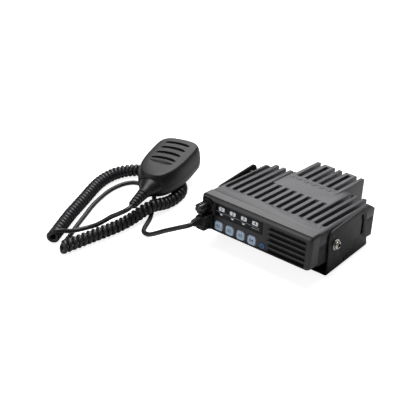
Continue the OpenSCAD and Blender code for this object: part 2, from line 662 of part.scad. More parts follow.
bracket();
lower_chassis();
heat_sink();
front_panel();
panel_gasket();
display_window();
lamp_strip();
speaker_frame();
speaker_cone();
speaker_magnet();
speaker_felt();
front_board();
main_board();
ribbon_cable();
power_module();
shield_cans();
capacitors();
volume_pot();
volume_shaft();
volume_knob();
key_mat();
key_1();
key_2();
key_3();
key_4();
power_button();
mic_jack();
mic_plug();
plug_boot();
antenna_connector();
antenna_centre();
power_inlet();
speaker_jack();
cover_screws();
panel_screws();
pivot_screws();
pivot_washers();
plug_lead();
coiled_cord();
mic_lead();
mic_front_case();
mic_rear_case();
cord_cap();
mic_boot();
ptt_button();
ptt_switch();
mic_capsule();
capsule_holder();
mic_board();
mic_screen();
hanger_stud();
mic_screws();
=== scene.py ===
import json
import math
import bmesh
import bpy
from mathutils import Matrix, Vector


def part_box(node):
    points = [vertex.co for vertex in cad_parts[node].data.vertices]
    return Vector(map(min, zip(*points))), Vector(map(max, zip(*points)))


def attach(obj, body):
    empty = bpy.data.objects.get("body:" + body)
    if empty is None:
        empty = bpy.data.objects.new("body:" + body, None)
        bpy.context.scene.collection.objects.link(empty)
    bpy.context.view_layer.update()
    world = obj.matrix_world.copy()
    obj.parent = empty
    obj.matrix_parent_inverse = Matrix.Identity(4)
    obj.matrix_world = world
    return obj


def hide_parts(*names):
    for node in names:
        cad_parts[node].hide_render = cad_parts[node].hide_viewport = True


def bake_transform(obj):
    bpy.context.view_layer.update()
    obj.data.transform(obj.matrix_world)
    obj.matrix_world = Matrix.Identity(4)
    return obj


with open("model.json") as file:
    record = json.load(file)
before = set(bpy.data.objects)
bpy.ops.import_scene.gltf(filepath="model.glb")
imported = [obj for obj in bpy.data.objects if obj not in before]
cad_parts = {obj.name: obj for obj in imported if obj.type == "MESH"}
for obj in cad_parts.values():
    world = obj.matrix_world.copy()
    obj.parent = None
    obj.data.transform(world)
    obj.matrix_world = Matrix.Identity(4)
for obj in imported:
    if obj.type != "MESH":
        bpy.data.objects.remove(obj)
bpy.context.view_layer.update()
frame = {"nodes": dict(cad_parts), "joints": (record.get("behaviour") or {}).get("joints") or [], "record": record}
print("frame loaded:", len(frame["nodes"]), "nodes")


# ---- where things are ----
# The radio, the microphone and the floor each have a frame in millimetres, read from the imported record.
def jointNamed(name):
    return next(joint for joint in frame["joints"] if joint["name"] == name)


def mountNamed(name):
    return next(mount for mount in frame["record"]["mounts"] if mount["name"] == name)


def frameFrom(across, back, up, origin):
    columns = Matrix((across, back, up)).transposed() * 0.001
    return Matrix.Translation(origin) @ columns.to_4x4()


def radioPlace():
    pivotBack, pivotUp = 43.4, 18.4  # tilt axis behind the front face and above the underside
    across = Vector((1, 0, 0))
    back = Vector(jointNamed("volume_turn")["axis"])
    up = across.cross(back)
    pivot = Vector(jointNamed("radio_tilt")["pos_m"])
    return frameFrom(across, back, up, pivot - (back * pivotBack + up * pivotUp) * 0.001)


def micPlace():
    studAlong, studDrop = 40, 6.6  # hanger stud's head from the microphone's origin
    across = Vector(jointNamed("ptt_press")["axis"])
    up = Vector((0, 0, 1))
    along = up.cross(across)
    stud = Vector(mountNamed("hanger_stud")["pos_m"])
    return frameFrom(across, along, up, stud - (along * studAlong - up * studDrop) * 0.001)


radioFrame = radioPlace()
micFrame = micPlace()
floorFrame = Matrix.Diagonal((0.001, 0.001, 0.001, 1))


# ---- small tools for making meshes ----
def newObject(name, data):
    made = bpy.data.objects.new(name, data)
    bpy.context.collection.objects.link(made)
    return made


def newPiece(name, points, faces):
    mesh = bpy.data.meshes.new(name)
    mesh.from_pydata([tuple(point) for point in points], [], faces)
    return newObject(name, mesh)


def pieceFrom(name, work):
    piece = newPiece(name, [], [])
    work.to_mesh(piece.data)
    work.free()
    return piece


def finalMesh(piece):
    view = bpy.context.evaluated_depsgraph_get()
    view.update()
    return bpy.data.meshes.new_from_object(piece.evaluated_get(view))


# The faces turned outward, once any doubled points nearer than mergeUnder are one.
def facingOut(piece, mergeUnder=0.0):
    work = bmesh.new()
    work.from_mesh(piece.data)
    if mergeUnder:
        bmesh.ops.remove_doubles(work, verts=work.verts, dist=mergeUnder)
    bmesh.ops.recalc_face_normals(work, faces=work.faces)
    work.to_mesh(piece.data)
    work.free()
    return piece


def applied(piece):
    mesh = finalMesh(piece)
    piece.modifiers.clear()
    piece.data = mesh
    return piece


def cutAway(piece, *cutters):
    for cutter in cutters:
        boolean = piece.modifiers.new("cut", "BOOLEAN")
        boolean.operation = "DIFFERENCE"
        boolean.solver = "EXACT"
        boolean.use_self = True
        boolean.object = cutter
        applied(piece)
        bpy.data.objects.remove(cutter)
    return piece


def soften(piece, width, segments=2, angle=32):
    bevel = piece.modifiers.new("soften", "BEVEL")
    bevel.width = width
    bevel.segments = segments
    bevel.limit_method = "ANGLE"
    bevel.angle_limit = math.radians(angle)
    bevel.use_clamp_overlap = False
    return applied(piece)


def joined(name, pieces):
    work = bmesh.new()
    for piece in pieces:
        work.from_mesh(piece.data)
        bpy.data.objects.remove(piece)
    return pieceFrom(name, work)


# A copy of a CAD node in its own frame's millimetres, merged and with its flat faces made whole.
def copyOfNode(name, node, place):
    solid = frame["nodes"][node].data.copy()
    solid.materials.clear()
    solid.transform(place.inverted())
    work = bmesh.new()
    work.from_mesh(solid)
    bmesh.ops.remove_doubles(work, verts=work.verts, dist=0.004)
    bmesh.ops.dissolve_limit(work, angle_limit=math.radians(1), verts=work.verts, edges=work.edges)
    return pieceFrom(name, work)


# Rings of points joined into a skin, capped at both ends, or closed on itself like a tyre.
def loft(name, rings, tyre=False):
    count = len(rings[0])
    points = [point for ring in rings for point in ring]
    faces = [] if tyre else [tuple(range(count)), tuple(range(len(points) - count, len(points)))]
    for row in range(len(rings) if tyre else len(rings) - 1):
        first, then = row * count, (row + 1) % len(rings) * count
        for k in range(count):
            following = (k + 1) % count
            faces.append((first + k, first + following, then + following, then + k))
    return facingOut(newPiece(name, points, faces))


def roundedRing(left, right, bottom, top, radius, depth, steps=6):
    corners = [(right - radius, top - radius, 0), (left + radius, top - radius, 90),
               (left + radius, bottom + radius, 180), (right - radius, bottom + radius, 270)]
    ring = []
    for x, y, start in corners:
        for k in range(steps + 1):
            angle = math.radians(start + 90 * k / steps)
            ring.append((x + radius * math.cos(angle), depth, y + radius * math.sin(angle)))
    return ring


# A pocket cutter with a small chamfer round its mouth: it opens at depth mouth and ends at depth floor.
def pocket(name, left, right, bottom, top, radius, mouth, floor, chamfer=0.25, steps=6):
    above = 3
    wide = (left - chamfer, right + chamfer, bottom - chamfer, top + chamfer, radius + chamfer)
    mouthRings = [roundedRing(*wide, depth, steps) for depth in (mouth - above, mouth)]
    return loft(name, mouthRings + [
        roundedRing(left, right, bottom, top, radius, mouth + chamfer, steps),
        roundedRing(left, right, bottom, top, radius, floor, steps)])


# A turned piece: profile is a list of (radius, distance along the axis), closed at both ends.
def turned(name, profile, centre, axis, sides=40, tyre=False):
    axis = Vector(axis).normalized()
    side = axis.orthogonal().normalized()
    other = axis.cross(side)
    rings = []
    for radius, along in profile:
        middle = Vector(centre) + axis * along
        rings.append([middle + radius * (side * math.cos(turn) + other * math.sin(turn))
                      for turn in (2 * math.pi * k / sides for k in range(sides))])
    return loft(name, rings, tyre)


def settle(piece, place, body, slotName, material, *replaced, sharpOver=32):
    piece.data.transform(place)
    piece.data.materials.clear()
    for entry in (material if isinstance(material, list) else [material]):
        piece.data.materials.append(entry)
    for face in piece.data.polygons:
        face.use_smooth = True
    piece.data.set_sharp_from_angle(angle=math.radians(sharpOver))
    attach(piece, body)
    if replaced:
        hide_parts(*replaced)
    return piece


# ---- Geometry Nodes ----
def newTree(name, inputs):
    tree = bpy.data.node_groups.new(name, "GeometryNodeTree")
    for label, value in inputs.items():
        kind = {int: "NodeSocketInt", float: "NodeSocketFloat", tuple: "NodeSocketVector"}.get(
            type(value), "NodeSocketMaterial")
        socket = tree.interface.new_socket(label, in_out="INPUT", socket_type=kind)
        if kind != "NodeSocketMaterial":
            socket.default_value = value
    tree.interface.new_socket("Geometry", in_out="OUTPUT", socket_type="NodeSocketGeometry")
    given = tree.nodes.new("NodeGroupInput")
    result = tree.nodes.new("NodeGroupOutput")
    return tree, given, result


def addNode(tree, kind, settings=(), **links):
    node = tree.nodes.new(kind)
    for key, value in dict(settings).items():
        setattr(node, key, value)
    for label, value in links.items():
        socket = node.inputs[int(label[1:])] if label[0] == "i" and label[1:].isdigit() else node.inputs[label]
        if isinstance(value, bpy.types.NodeSocket):
            tree.links.new(value, socket)
        else:
            socket.default_value = value
    return node


def mathNode(tree, operation, *values):
    node = addNode(tree, "ShaderNodeMath", {"operation": operation}, **{"i%d" % k: v for k, v in enumerate(values)})
    return node.outputs[0]


def rangeNode(tree, value, limits, smooth=False):
    kind = {"interpolation_type": "SMOOTHSTEP"} if smooth else {}
    return addNode(tree, "ShaderNodeMapRange", kind, Value=value, **limits).outputs[0]


def vectorNode(tree, **parts):
    return addNode(tree, "ShaderNodeCombineXYZ", **parts).outputs[0]


def endTree(tree, given, result, instances):
    real = addNode(tree, "GeometryNodeRealizeInstances", Geometry=instances)
    dressed = addNode(tree, "GeometryNodeSetMaterial", Geometry=real.outputs[0], Material=given.outputs["Finish"])
    tree.links.new(dressed.outputs[0], result.inputs[0])


def growTree(name, tree, values):
    piece = newPiece(name, [], [])
    modifier = piece.modifiers.new("grow", "NODES")
    modifier.node_group = tree
    for item in tree.interface.items_tree:
        if item.in_out == "INPUT" and item.name in values:
            modifier[item.identifier] = values[item.name]
    applied(piece)
    return facingOut(piece)


# ---- shader groups ----
def newGroup(name, inputs, outputs):
    group = bpy.data.node_groups.new(name, "ShaderNodeTree")
    for label, (kind, value) in inputs.items():
        group.interface.new_socket(label, in_out="INPUT", socket_type=kind).default_value = value
    for label, kind in outputs.items():
        group.interface.new_socket(label, in_out="OUTPUT", socket_type=kind)
    return group, group.nodes.new("NodeGroupInput"), group.nodes.new("NodeGroupOutput")


# Two sizes of noise: a fine grain for the height and a broad one for slow changes of colour and gloss.
def makeGrainGroup():
    group, given, result = newGroup("surfaceGrain", {
        "Colour": ("NodeSocketColor", (0.1, 0.1, 0.1, 1)), "Tint": ("NodeSocketColor", (0.2, 0.2, 0.2, 1)),
        "Grain Size": ("NodeSocketFloat", 900.0), "Drift": ("NodeSocketFloat", 0.15),
        "Roughness": ("NodeSocketFloat", 0.5), "Spread": ("NodeSocketFloat", 0.1)},
        {"Colour": "NodeSocketColor", "Roughness": "NodeSocketFloat", "Height": "NodeSocketFloat"})
    place = addNode(group, "ShaderNodeTexCoord").outputs["Object"]
    fine = addNode(group, "ShaderNodeTexNoise", Vector=place, Scale=given.outputs["Grain Size"], Detail=3.0)
    broad = addNode(group, "ShaderNodeTexNoise", Vector=place, Scale=24.0, Detail=4.0)
    speck = rangeNode(group, fine.outputs[0], {"From Min": 0.42, "From Max": 0.72})
    both = mathNode(group, "MULTIPLY_ADD", broad.outputs[0], 0.8, speck)
    share = mathNode(group, "MULTIPLY", both, given.outputs["Drift"])
    blend = addNode(group, "ShaderNodeMix", {"data_type": "RGBA"}, i0=share,
                    i6=given.outputs["Colour"], i7=given.outputs["Tint"])
    lean = mathNode(group, "SUBTRACT", broad.outputs[0], 0.5)
    gloss = mathNode(group, "MULTIPLY_ADD", lean, given.outputs["Spread"], given.outputs["Roughness"])
    group.links.new(blend.outputs[2], result.inputs["Colour"])
    group.links.new(gloss, result.inputs["Roughness"])
    group.links.new(fine.outputs[0], result.inputs["Height"])
    return group


# Light dust and rub that gather where a noise mask is high, as a mask only.
def makeRubGroup():
    group, given, result = newGroup("lightRub", {
        "Amount": ("NodeSocketFloat", 0.2), "Size": ("NodeSocketFloat", 60.0)}, {"Mask": "NodeSocketFloat"})
    place = addNode(group, "ShaderNodeTexCoord").outputs["Object"]
    streak = addNode(group, "ShaderNodeTexNoise", Vector=place, Scale=given.outputs["Size"], Detail=6.0)
    band = rangeNode(group, streak.outputs[0], {"From Min": 0.55, "From Max": 0.8})
    group.links.new(mathNode(group, "MULTIPLY", band, given.outputs["Amount"]), result.inputs["Mask"])
    return group


grainGroup = makeGrainGroup()
rubGroup = makeRubGroup()


def placedGroup(tree, group, values):
    node = tree.nodes.new("ShaderNodeGroup")
    node.node_tree = group
    for label, value in values.items():
        node.inputs[label].default_value = value
    return node


# One finish: colour with a tint that drifts over it, gloss, moulded or painted grain and a little rub.
def finishOf(name, look):
    material = bpy.data.materials.new(name)
    material.use_nodes = True
    tree = material.node_tree
    shader = tree.nodes["Principled BSDF"]
    colour = (*look["colour"], 1)
    tint = (*look.get("tint", [0.6 * part + 0.06 for part in look["colour"]]), 1)
    rubbed = (*[part * 1.5 + 0.02 for part in look["colour"]], 1)
    grain = placedGroup(tree, grainGroup, {
        "Colour": colour, "Tint": tint, "Grain Size": look.get("grainSize", 900.0),
        "Drift": look.get("drift", 0.15), "Roughness": look.get("roughness", 0.5),
        "Spread": look.get("spread", 0.12)})
    rub = placedGroup(tree, rubGroup, {"Amount": look.get("rub", 0.05)})
    worn = addNode(tree, "ShaderNodeMix", {"data_type": "RGBA"}, i0=rub.outputs[0], i6=grain.outputs["Colour"],
                   i7=rubbed)
    bump = addNode(tree, "ShaderNodeBump", Strength=look.get("bump", 0.15), Distance=0.0002,
                   Height=grain.outputs["Height"])
    tree.links.new(worn.outputs[2], shader.inputs["Base Color"])
    tree.links.new(grain.outputs["Roughness"], shader.inputs["Roughness"])
    tree.links.new(bump.outputs[0], shader.inputs["Normal"])
    for label, value in (("Metallic", look.get("metal", 0.0)), ("Specular IOR Level", look.get("specular", 0.5)),
                         ("Coat Weight", look.get("coat", 0.0)), ("Coat Roughness", 0.1),
                         ("Subsurface Weight", look.get("glow", 0.0))):
        shader.inputs[label].default_value = value
    if look.get("emit"):
        shader.inputs["Emission Color"].default_value = colour
        shader.inputs["Emission Strength"].default_value = look["emit"]
    return material


looks = {
    "bracketSteel": dict(colour=(0.010, 0.0096, 0.0108), roughness=0.42, grainSize=1400.0, bump=0.3, rub=0.08,
                         tint=(0.016, 0.016, 0.018), specular=0.22),
    "castGrey": dict(colour=(0.0355, 0.0325, 0.038), roughness=0.42, grainSize=1100.0, bump=0.3, drift=0.10,
                     tint=(0.051, 0.047, 0.053), rub=0.05, specular=0.55),
    "castDark": dict(colour=(0.014, 0.0135, 0.0155), roughness=0.5, grainSize=1100.0, bump=0.35,
                     tint=(0.022, 0.021, 0.024), specular=0.25),
    "panelPlastic": dict(colour=(0.0150, 0.0148, 0.0178), roughness=0.36, grainSize=1600.0, bump=0.22,
                         tint=(0.022, 0.022, 0.025), specular=0.55),
    "windowGloss": dict(colour=(0.004, 0.004, 0.005), roughness=0.16, bump=0.02, drift=0.05, specular=0.2,
                        tint=(0.007, 0.007, 0.008)),
    "litWhite": dict(colour=(0.74, 0.76, 0.80), roughness=0.4, bump=0.02, drift=0.1, tint=(0.8, 0.82, 0.85),
                     emit=0.12),
    "printWhite": dict(colour=(0.42, 0.44, 0.47), roughness=0.5, bump=0.02, drift=0.1),
    "inkDark": dict(colour=(0.02, 0.02, 0.022), roughness=0.5, bump=0.05),
    "inkBlue": dict(colour=(0.025, 0.035, 0.06), roughness=0.5, bump=0.05),
    "blackRubber": dict(colour=(0.006, 0.006, 0.0065), roughness=0.46, grainSize=1300.0, bump=0.4,
                        tint=(0.010, 0.010, 0.011), specular=0.35),
    "acousticCloth": dict(colour=(0.006, 0.006, 0.007), roughness=0.95, grainSize=2400.0, bump=1.0),
    "nickel": dict(colour=(0.66, 0.63, 0.58), roughness=0.2, metal=1.0, bump=0.06, drift=0.2, spread=0.15),
    "blackScrew": dict(colour=(0.03, 0.03, 0.032), roughness=0.35, metal=0.6, bump=0.1),
    "boardGreen": dict(colour=(0.012, 0.085, 0.03), roughness=0.4, bump=0.1, tint=(0.03, 0.14, 0.06), drift=0.5),
    "tinned": dict(colour=(0.55, 0.56, 0.58), roughness=0.3, metal=1.0, bump=0.08),
    "filmCable": dict(colour=(0.6, 0.56, 0.46), roughness=0.4, bump=0.05),
    "moduleGrey": dict(colour=(0.42, 0.43, 0.45), roughness=0.4, metal=1.0, bump=0.1),
    "sleeveBlue": dict(colour=(0.02, 0.04, 0.18), roughness=0.35, bump=0.05),
    "knobBlack": dict(colour=(0.007, 0.007, 0.008), roughness=0.24, bump=0.05, coat=0.25, tint=(0.01, 0.01, 0.011)),
    "keyBlue": dict(colour=(0.54, 0.63, 0.80), roughness=0.42, bump=0.08, drift=0.15, tint=(0.60, 0.70, 0.86),
                    glow=0.15),
    "powerBlue": dict(colour=(0.055, 0.17, 0.46), roughness=0.3, bump=0.03, drift=0.2, glow=0.1),
    "powerCentre": dict(colour=(0.03, 0.04, 0.06), roughness=0.35, bump=0.03),
    "creamInsulator": dict(colour=(0.72, 0.68, 0.58), roughness=0.45, bump=0.06),
    "micPlastic": dict(colour=(0.0085, 0.0083, 0.0104), roughness=0.42, grainSize=1500.0, bump=0.45,
                       tint=(0.0135, 0.013, 0.016), specular=0.32),
    "cordJacket": dict(colour=(0.014, 0.0135, 0.0165), roughness=0.38, grainSize=900.0, bump=0.2,
                       tint=(0.019, 0.018, 0.021), specular=0.45),
}
finish = {name: finishOf(name, look) for name, look in looks.items()}
print("finishes made:", len(finish))


# ---- camera, floor and light ----
cameraView = {"place": (0.65143, -0.94846, 0.74563), "pitch": 58.35, "yaw": 39.15, "lens": 103.6,
              "sensor": 36}


def makeCamera(view):
    camera = newObject("camera", bpy.data.cameras.new("camera"))
    camera.data.sensor_width = view["sensor"]
    camera.data.lens = view["lens"]
    camera.location = view["place"]
    camera.rotation_euler = (math.radians(view["pitch"]), 0, math.radians(view["yaw"]))
    bpy.context.scene.camera = camera


def makeLight(name, place, aim, size, power):
    data = bpy.data.lights.new(name, "AREA")
    data.shape = "DISK"
    data.size = size
    data.energy = power
    light = newObject(name, data)
    light.location = place
    light.rotation_euler = (Vector(aim) - Vector(place)).to_track_quat("-Z", "Y").to_euler()


# Each softbox: its place, its size and its power.
studioLook = {"fill": 0.12, "floorLift": 0.84, "paper": 0.62, "floorHalf": 6, "aim": (-0.08, -0.02, 0.02)}
softboxes = {"topSoftbox": ((-0.30, 0.45, 1.45), 1.1, 26), "backSoftbox": ((-1.0, 1.45, 1.0), 1.3, 11),
             "sideSoftbox": ((1.5, -0.2, 0.9), 0.8, 0.6), "frontSoftbox": ((-0.7, -1.5, 1.0), 0.9, 7)}


# The paper lifts its own white a little for the camera, which keeps the shadows soft and light.
def makeStudio(look, boxes):
    world = bpy.data.worlds.new("studio")
    world.use_nodes = True
    world.node_tree.nodes["Background"].inputs[0].default_value = (1, 1, 1, 1)
    world.node_tree.nodes["Background"].inputs[1].default_value = look["fill"]
    bpy.context.scene.world = world
    bpy.context.scene.view_settings.view_transform = "Standard"
    far = look["floorHalf"]
    floor = newPiece("floor", [(-far, -far, 0), (far, -far, 0), (far, far, 0), (-far, far, 0)], [(0, 1, 2, 3)])
    white = [look["paper"]] * 3
    paper = finishOf("floorPaper", dict(colour=white, tint=white, roughness=0.9, bump=0.0, rub=0.0, specular=0.0))
    shader = paper.node_tree.nodes["Principled BSDF"]
    seen = addNode(paper.node_tree, "ShaderNodeLightPath").outputs["Is Camera Ray"]
    lift = mathNode(paper.node_tree, "MULTIPLY", seen, look["floorLift"])
    shader.inputs["Emission Color"].default_value = (1, 1, 1, 1)
    paper.node_tree.links.new(lift, shader.inputs["Emission Strength"])
    floor.data.materials.append(paper)
    for name, (place, size, power) in boxes.items():
        makeLight(name, place, look["aim"], size, power)


makeCamera(cameraView)
makeStudio(studioLook, softboxes)
print("camera, floor and light made")


# ---- the cord: straight lead, curly cord, straight lead ----
cordLook = {"diameter": 5.4, "coilDiameter": 15.6, "tightPitch": 5.5, "openPitch": 6.5,
            "tightFrom": 0.34, "openTail": 0.12, "turnPoints": 18, "blendPoints": 24}
plugRoute = [
    (-66.2, -93.9, 37.5), (-66.5, -98.6, 37.7), (-70.4, -101.4, 36), (-77.8, -103.6, 32.4),
    (-86.7, -104.8, 27.4), (-97.3, -104.6, 21), (-107.7, -104.4, 14.2), (-116.5, -103.6, 8.4),
    (-123.7, -102.9, 4.4), (-130, -102, 2.9), (-135, -99.4, 2.8), (-138.2, -94.6, 2.8),
    (-140.6, -89.3, 2.8), (-145, -79, 2.8), (-150, -70, 2.8), (-156, -61, 2.8), (-163, -50, 2.8), (-171, -40, 2.8),
    (-181, -31, 2.8), (-193, -25, 2.8), (-206, -22, 2.8), (-217, -25, 2.8), (-224, -34, 2.8),
    (-227, -47, 2.8), (-227, -60, 2.8), (-225, -73, 2.8), (-222, -86, 2.8), (-218, -99, 2.8),
    (-213, -112, 2.8), (-208, -125, 2.8), (-203, -138, 2.8), (-198, -150, 2.8),
    (-193, -161, 2.8), (-189, -172, 2.8), (-184, -182, 2.8), (-177, -188, 2.8)]
coilRoute = [
    (-177, -188, 8), (-173, -172, 8), (-169, -156, 8), (-165, -140, 8), (-161, -124, 8),
    (-158, -108, 8.4), (-156, -92, 9.8), (-154, -78, 12.4), (-152, -66, 13.4), (-150, -53, 10.9),
    (-149, -40, 8), (-149, -26, 8), (-153, -12, 8), (-163, -1, 8), (-177, 5, 8), (-193, 6, 8),
    (-209, 3, 8), (-224, -4, 8), (-236, -14, 8), (-243, -28, 8), (-245, -44, 8), (-243, -61, 8),
    (-238, -78, 8), (-232, -95, 8), (-226, -113, 8), (-220, -131, 8), (-213, -149, 8),
    (-206, -166, 8), (-200, -181, 8)]
micRoute = [
    (-202, -182, 13.4), (-197, -179, 17), (-194, -172, 15.5), (-192.5, -163, 11), (-191, -154, 8),
    (-188, -145, 7), (-184, -137, 7.2), (-179, -130.5, 9), (-173, -125, 13.5), (-166, -120, 19.5),
    (-159, -115.5, 24), (-153.5, -110.5, 27.5), (-151.6, -105, 29.2), (-152.4, -99.5, 29.5)]


# Points of a smooth curve through the route, a few to each stretch.
def smoothed(route, steps):
    points = [Vector(point) for point in route]
    padded = [points[0] * 2 - points[1]] + points + [points[-1] * 2 - points[-2]]
    curve = []
    for k in range(len(points) - 1):
        before, start, end, after = padded[k:k + 4]
        for step in range(steps):
            t = step / steps
            curve.append(0.5 * (2 * start + (end - before) * t + (2 * before - 5 * start + 4 * end - after) * t * t
                                + (3 * start - before - 3 * end + after) * t ** 3))
    return curve + [points[-1]]


def lengthOf(points):
    return sum((b - a).length for a, b in zip(points, points[1:]))


def makeTube(name, points, diameter, resolution):
    data = bpy.data.curves.new(name, "CURVE")
    data.dimensions = "3D"
    data.bevel_depth = diameter / 2
    data.bevel_resolution = resolution
    data.use_fill_caps = True
    line = data.splines.new("POLY")
    line.points.add(len(points) - 1)
    for target, point in zip(line.points, points):
        target.co = (*point, 1)
    line.use_smooth = True
    data.materials.append(finish["cordJacket"])
    return newObject(name, data)


# A lead that has to follow two bodies is a mesh.
def makeLead(name, points, diameter):
    tube = makeTube(name, points, diameter, 4)
    mesh = finalMesh(tube)
    bpy.data.objects.remove(tube)
    mesh.materials.clear()
    mesh.materials.append(finish["cordJacket"])
    for face in mesh.polygons:
        face.use_smooth = True
    return newObject(name, mesh)


# The helix round the coil's middle line. Its turns are open at first and draw in over a share of its length.
def helixPoints(route, look):
    line = smoothed(route, 12)
    radius = (look["coilDiameter"] - look["diameter"]) / 2
    total = lengthOf(line)
    turns, done = [0.0], 0.0
    for a, b in zip(line, line[1:]):
        share = done / total
        openness = 1 - min(max((share - look["tightFrom"]) / look["openTail"], 0), 1)
        pitch = look["tightPitch"] + (look["openPitch"] - look["tightPitch"]) * openness
        turns.append(turns[-1] + (b - a).length / pitch)
        done += (b - a).length
    wanted = math.floor(turns[-1]) + 0.5
    turns = [turn * wanted / turns[-1] for turn in turns]
    count = int(wanted * look["turnPoints"])
    points, k = [], 0
    for n in range(count + 1):
        turn = wanted * n / count
        while k < len(line) - 2 and turns[k + 1] < turn:
            k += 1
        part = min(max((turn - turns[k]) / (turns[k + 1] - turns[k]), 0), 1)
        middle = line[k].lerp(line[k + 1], part)
        before = line[max(k - 1, 0)]
        after = line[min(k + 2, len(line) - 1)]
        ahead = (after - before).normalized()
        side = ahead.cross(Vector((0, 0, 1))).normalized()
        up = side.cross(ahead)
        angle = 2 * math.pi * turn - math.pi / 2
        points.append(middle + radius * (side * math.cos(angle) + up * math.sin(angle)))
    return points


def makeCords(look):
    thick = look["diameter"] * 0.001
    plugLine = [point * 0.001 for point in smoothed(plugRoute, 4)]
    plugLead = makeLead("plugLead", plugLine, thick)
    coilLine = [point * 0.001 for point in helixPoints(coilRoute, look)]
    coiledCord = makeTube("coiledCord", coilLine, thick, 2)
    micLine = [point * 0.001 for point in smoothed(micRoute, 4)]
    micLead = makeLead("micLead", micLine, thick)
    print("cord lengths in mm:", [round(1000 * lengthOf(line)) for line in (plugLine, coilLine, micLine)])
    for piece, node in ((plugLead, "plug_lead"), (coiledCord, "coiled_cord"), (micLead, "mic_lead")):
        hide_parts(node)
    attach(coiledCord, "bracket")
    return {"plug": (plugLead, plugLine), "coil": (coiledCord, coilLine), "mic": (micLead, micLine)}


cords = makeCords(cordLook)
print("cords made")

# ---- bracket: one bent steel sheet with its holes ----
bracketLook = {"steel": 2, "bend": 3, "frontY": -39, "rearY": 39, "earTop": 55, "earCorner": 9, "pivotHole": 2.58,
               "slotRadius": 53.5, "slotHalf": 2.2, "slotSweep": 11.5, "jigHole": (-7.5, 7, 1.6),
               "floorHole": 2.7, "edge": 0.35, "rearCorner": 12}


def circlePoints(y, z, radius, count=28):
    return [(y + radius * math.cos(2 * math.pi * k / count), z + radius * math.sin(2 * math.pi * k / count))
            for k in range(count)]


def arcPoints(y, z, radius, start, end, count):
    angles = [math.radians(start + (end - start) * k / count) for k in range(count + 1)]
    return [(y + radius * math.cos(angle), z + radius * math.sin(angle)) for angle in angles]


def filledSheet(name, loops):
    work = bmesh.new()
    edges = []
    for loop in loops:
        corners = [work.verts.new(point) for point in loop]
        edges += [work.edges.new((corners[k - 1], corners[k])) for k in range(len(corners))]
    bmesh.ops.triangle_fill(work, edges=edges, use_beauty=True)
    return pieceFrom(name, work)


def makeBracket(look):
    half = look["steel"] / 2
    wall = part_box("bracket")[1].x * 1000 - half
    bend = look["bend"]
    pivot = Vector(jointNamed("radio_tilt")["pos_m"]) * 1000
    holes = mountNamed("floor_holes")["dims"]
    corner = look["earCorner"]
    foot = half + bend
    outline = [(look["frontY"], foot), (look["rearY"], foot)]
    outline += arcPoints(look["rearY"] - look["rearCorner"], look["earTop"] - corner, corner, 10, 90, 8)
    outline += arcPoints(look["frontY"] + corner, look["earTop"] - corner, corner, 90, 180, 8)
    sweep, radius, wide = look["slotSweep"], look["slotRadius"], look["slotHalf"]
    slot = arcPoints(pivot.y, pivot.z, radius + wide, -sweep, sweep, 8)
    for end, turn in ((sweep, 0), (-sweep, 180)):
        y = pivot.y + radius * math.cos(math.radians(end))
        z = pivot.z + radius * math.sin(math.radians(end))
        slot += arcPoints(y, z, wide, end + turn, end + turn + 180, 8)[1:-1]
        if not turn:
            slot += arcPoints(pivot.y, pivot.z, radius - wide, sweep, -sweep, 8)
    jig = look["jigHole"]
    earLoops = [outline, circlePoints(pivot.y, pivot.z, look["pivotHole"]), circlePoints(*jig), slot]
    reach = wall - bend
    base = [(-reach, look["frontY"]), (reach, look["frontY"]), (reach, look["rearY"]), (-reach, look["rearY"])]
    holeX, holeY = holes["spacing_x_mm"] / 2, holes["spacing_y_mm"] / 2
    baseLoops = [base] + [circlePoints(x * holeX, y * holeY, look["floorHole"]) for x in (-1, 1) for y in (-1, 1)]
    sheets = [filledSheet("base", [[(x, y, half) for x, y in loop] for loop in baseLoops])]
    for side in (-1, 1):
        sheets.append(filledSheet("ear", [[(side * wall, y, z) for y, z in loop] for loop in earLoops]))
        across = arcPoints(reach, foot, bend, -90, 0, 6)
        points = [(side * x, y, z) for x, z in across for y in (look["frontY"], look["rearY"])]
        sheets.append(newPiece("bend", points, [(2 * k, 2 * k + 1, 2 * k + 3, 2 * k + 2) for k in range(6)]))
    bracket = facingOut(joined("mountingBracket", sheets), mergeUnder=0.01)
    thick = bracket.modifiers.new("steel", "SOLIDIFY")
    thick.thickness = look["steel"]
    thick.offset = 0
    thick.use_even_offset = True
    applied(bracket)
    soften(facingOut(bracket), look["edge"], angle=40)
    settle(bracket, floorFrame, "bracket", "bracket_steel", finish["bracketSteel"], "bracket")


makeBracket(bracketLook)
print("bracket made")


# ---- castings: the CAD shapes with soft, paint-filled edges ----
castEdges = {"heat_sink": ("heatSink", 0.45, "cast_grey", "castGrey"),
             "lower_chassis": ("lowerChassis", 0.5, "cast_dark", "castDark")}


def makeCastings(edges):
    for node, (name, width, slotName, look) in edges.items():
        casting = soften(copyOfNode(name, node, radioFrame), width)
        settle(casting, radioFrame, "radio", slotName, finish[look], node)


makeCastings(castEdges)
print("castings made")


# ---- front panel ----
panelLook = {"width": 150, "height": 40, "depth": 15.4, "corner": 3.6, "face": 1.6,
             "recess": (-57.2, 68.2, 1.3, 34.7), "knobPocket": (-73.2, -58.8, 1.5, 36.6),
             "plugPocket": (-73.3, -56.7, 1.5, 18), "window": (-56.1, 9.7, 18.5, 32.7),
             "keys": 4, "firstKey": -49.2, "keyStep": 15.35, "keyUp": 7.2, "keyHalf": 5.7,
             "powerAt": (11.3, 5.8), "powerHalf": 3.6,
             "louvres": 5, "louvreUp": 3.4, "louvreStep": 6.65, "louvreHalf": 1.95, "louvreLeft": 13.8,
             "louvreRight": 66.9, "dimpleAt": (5.4, 15.4)}


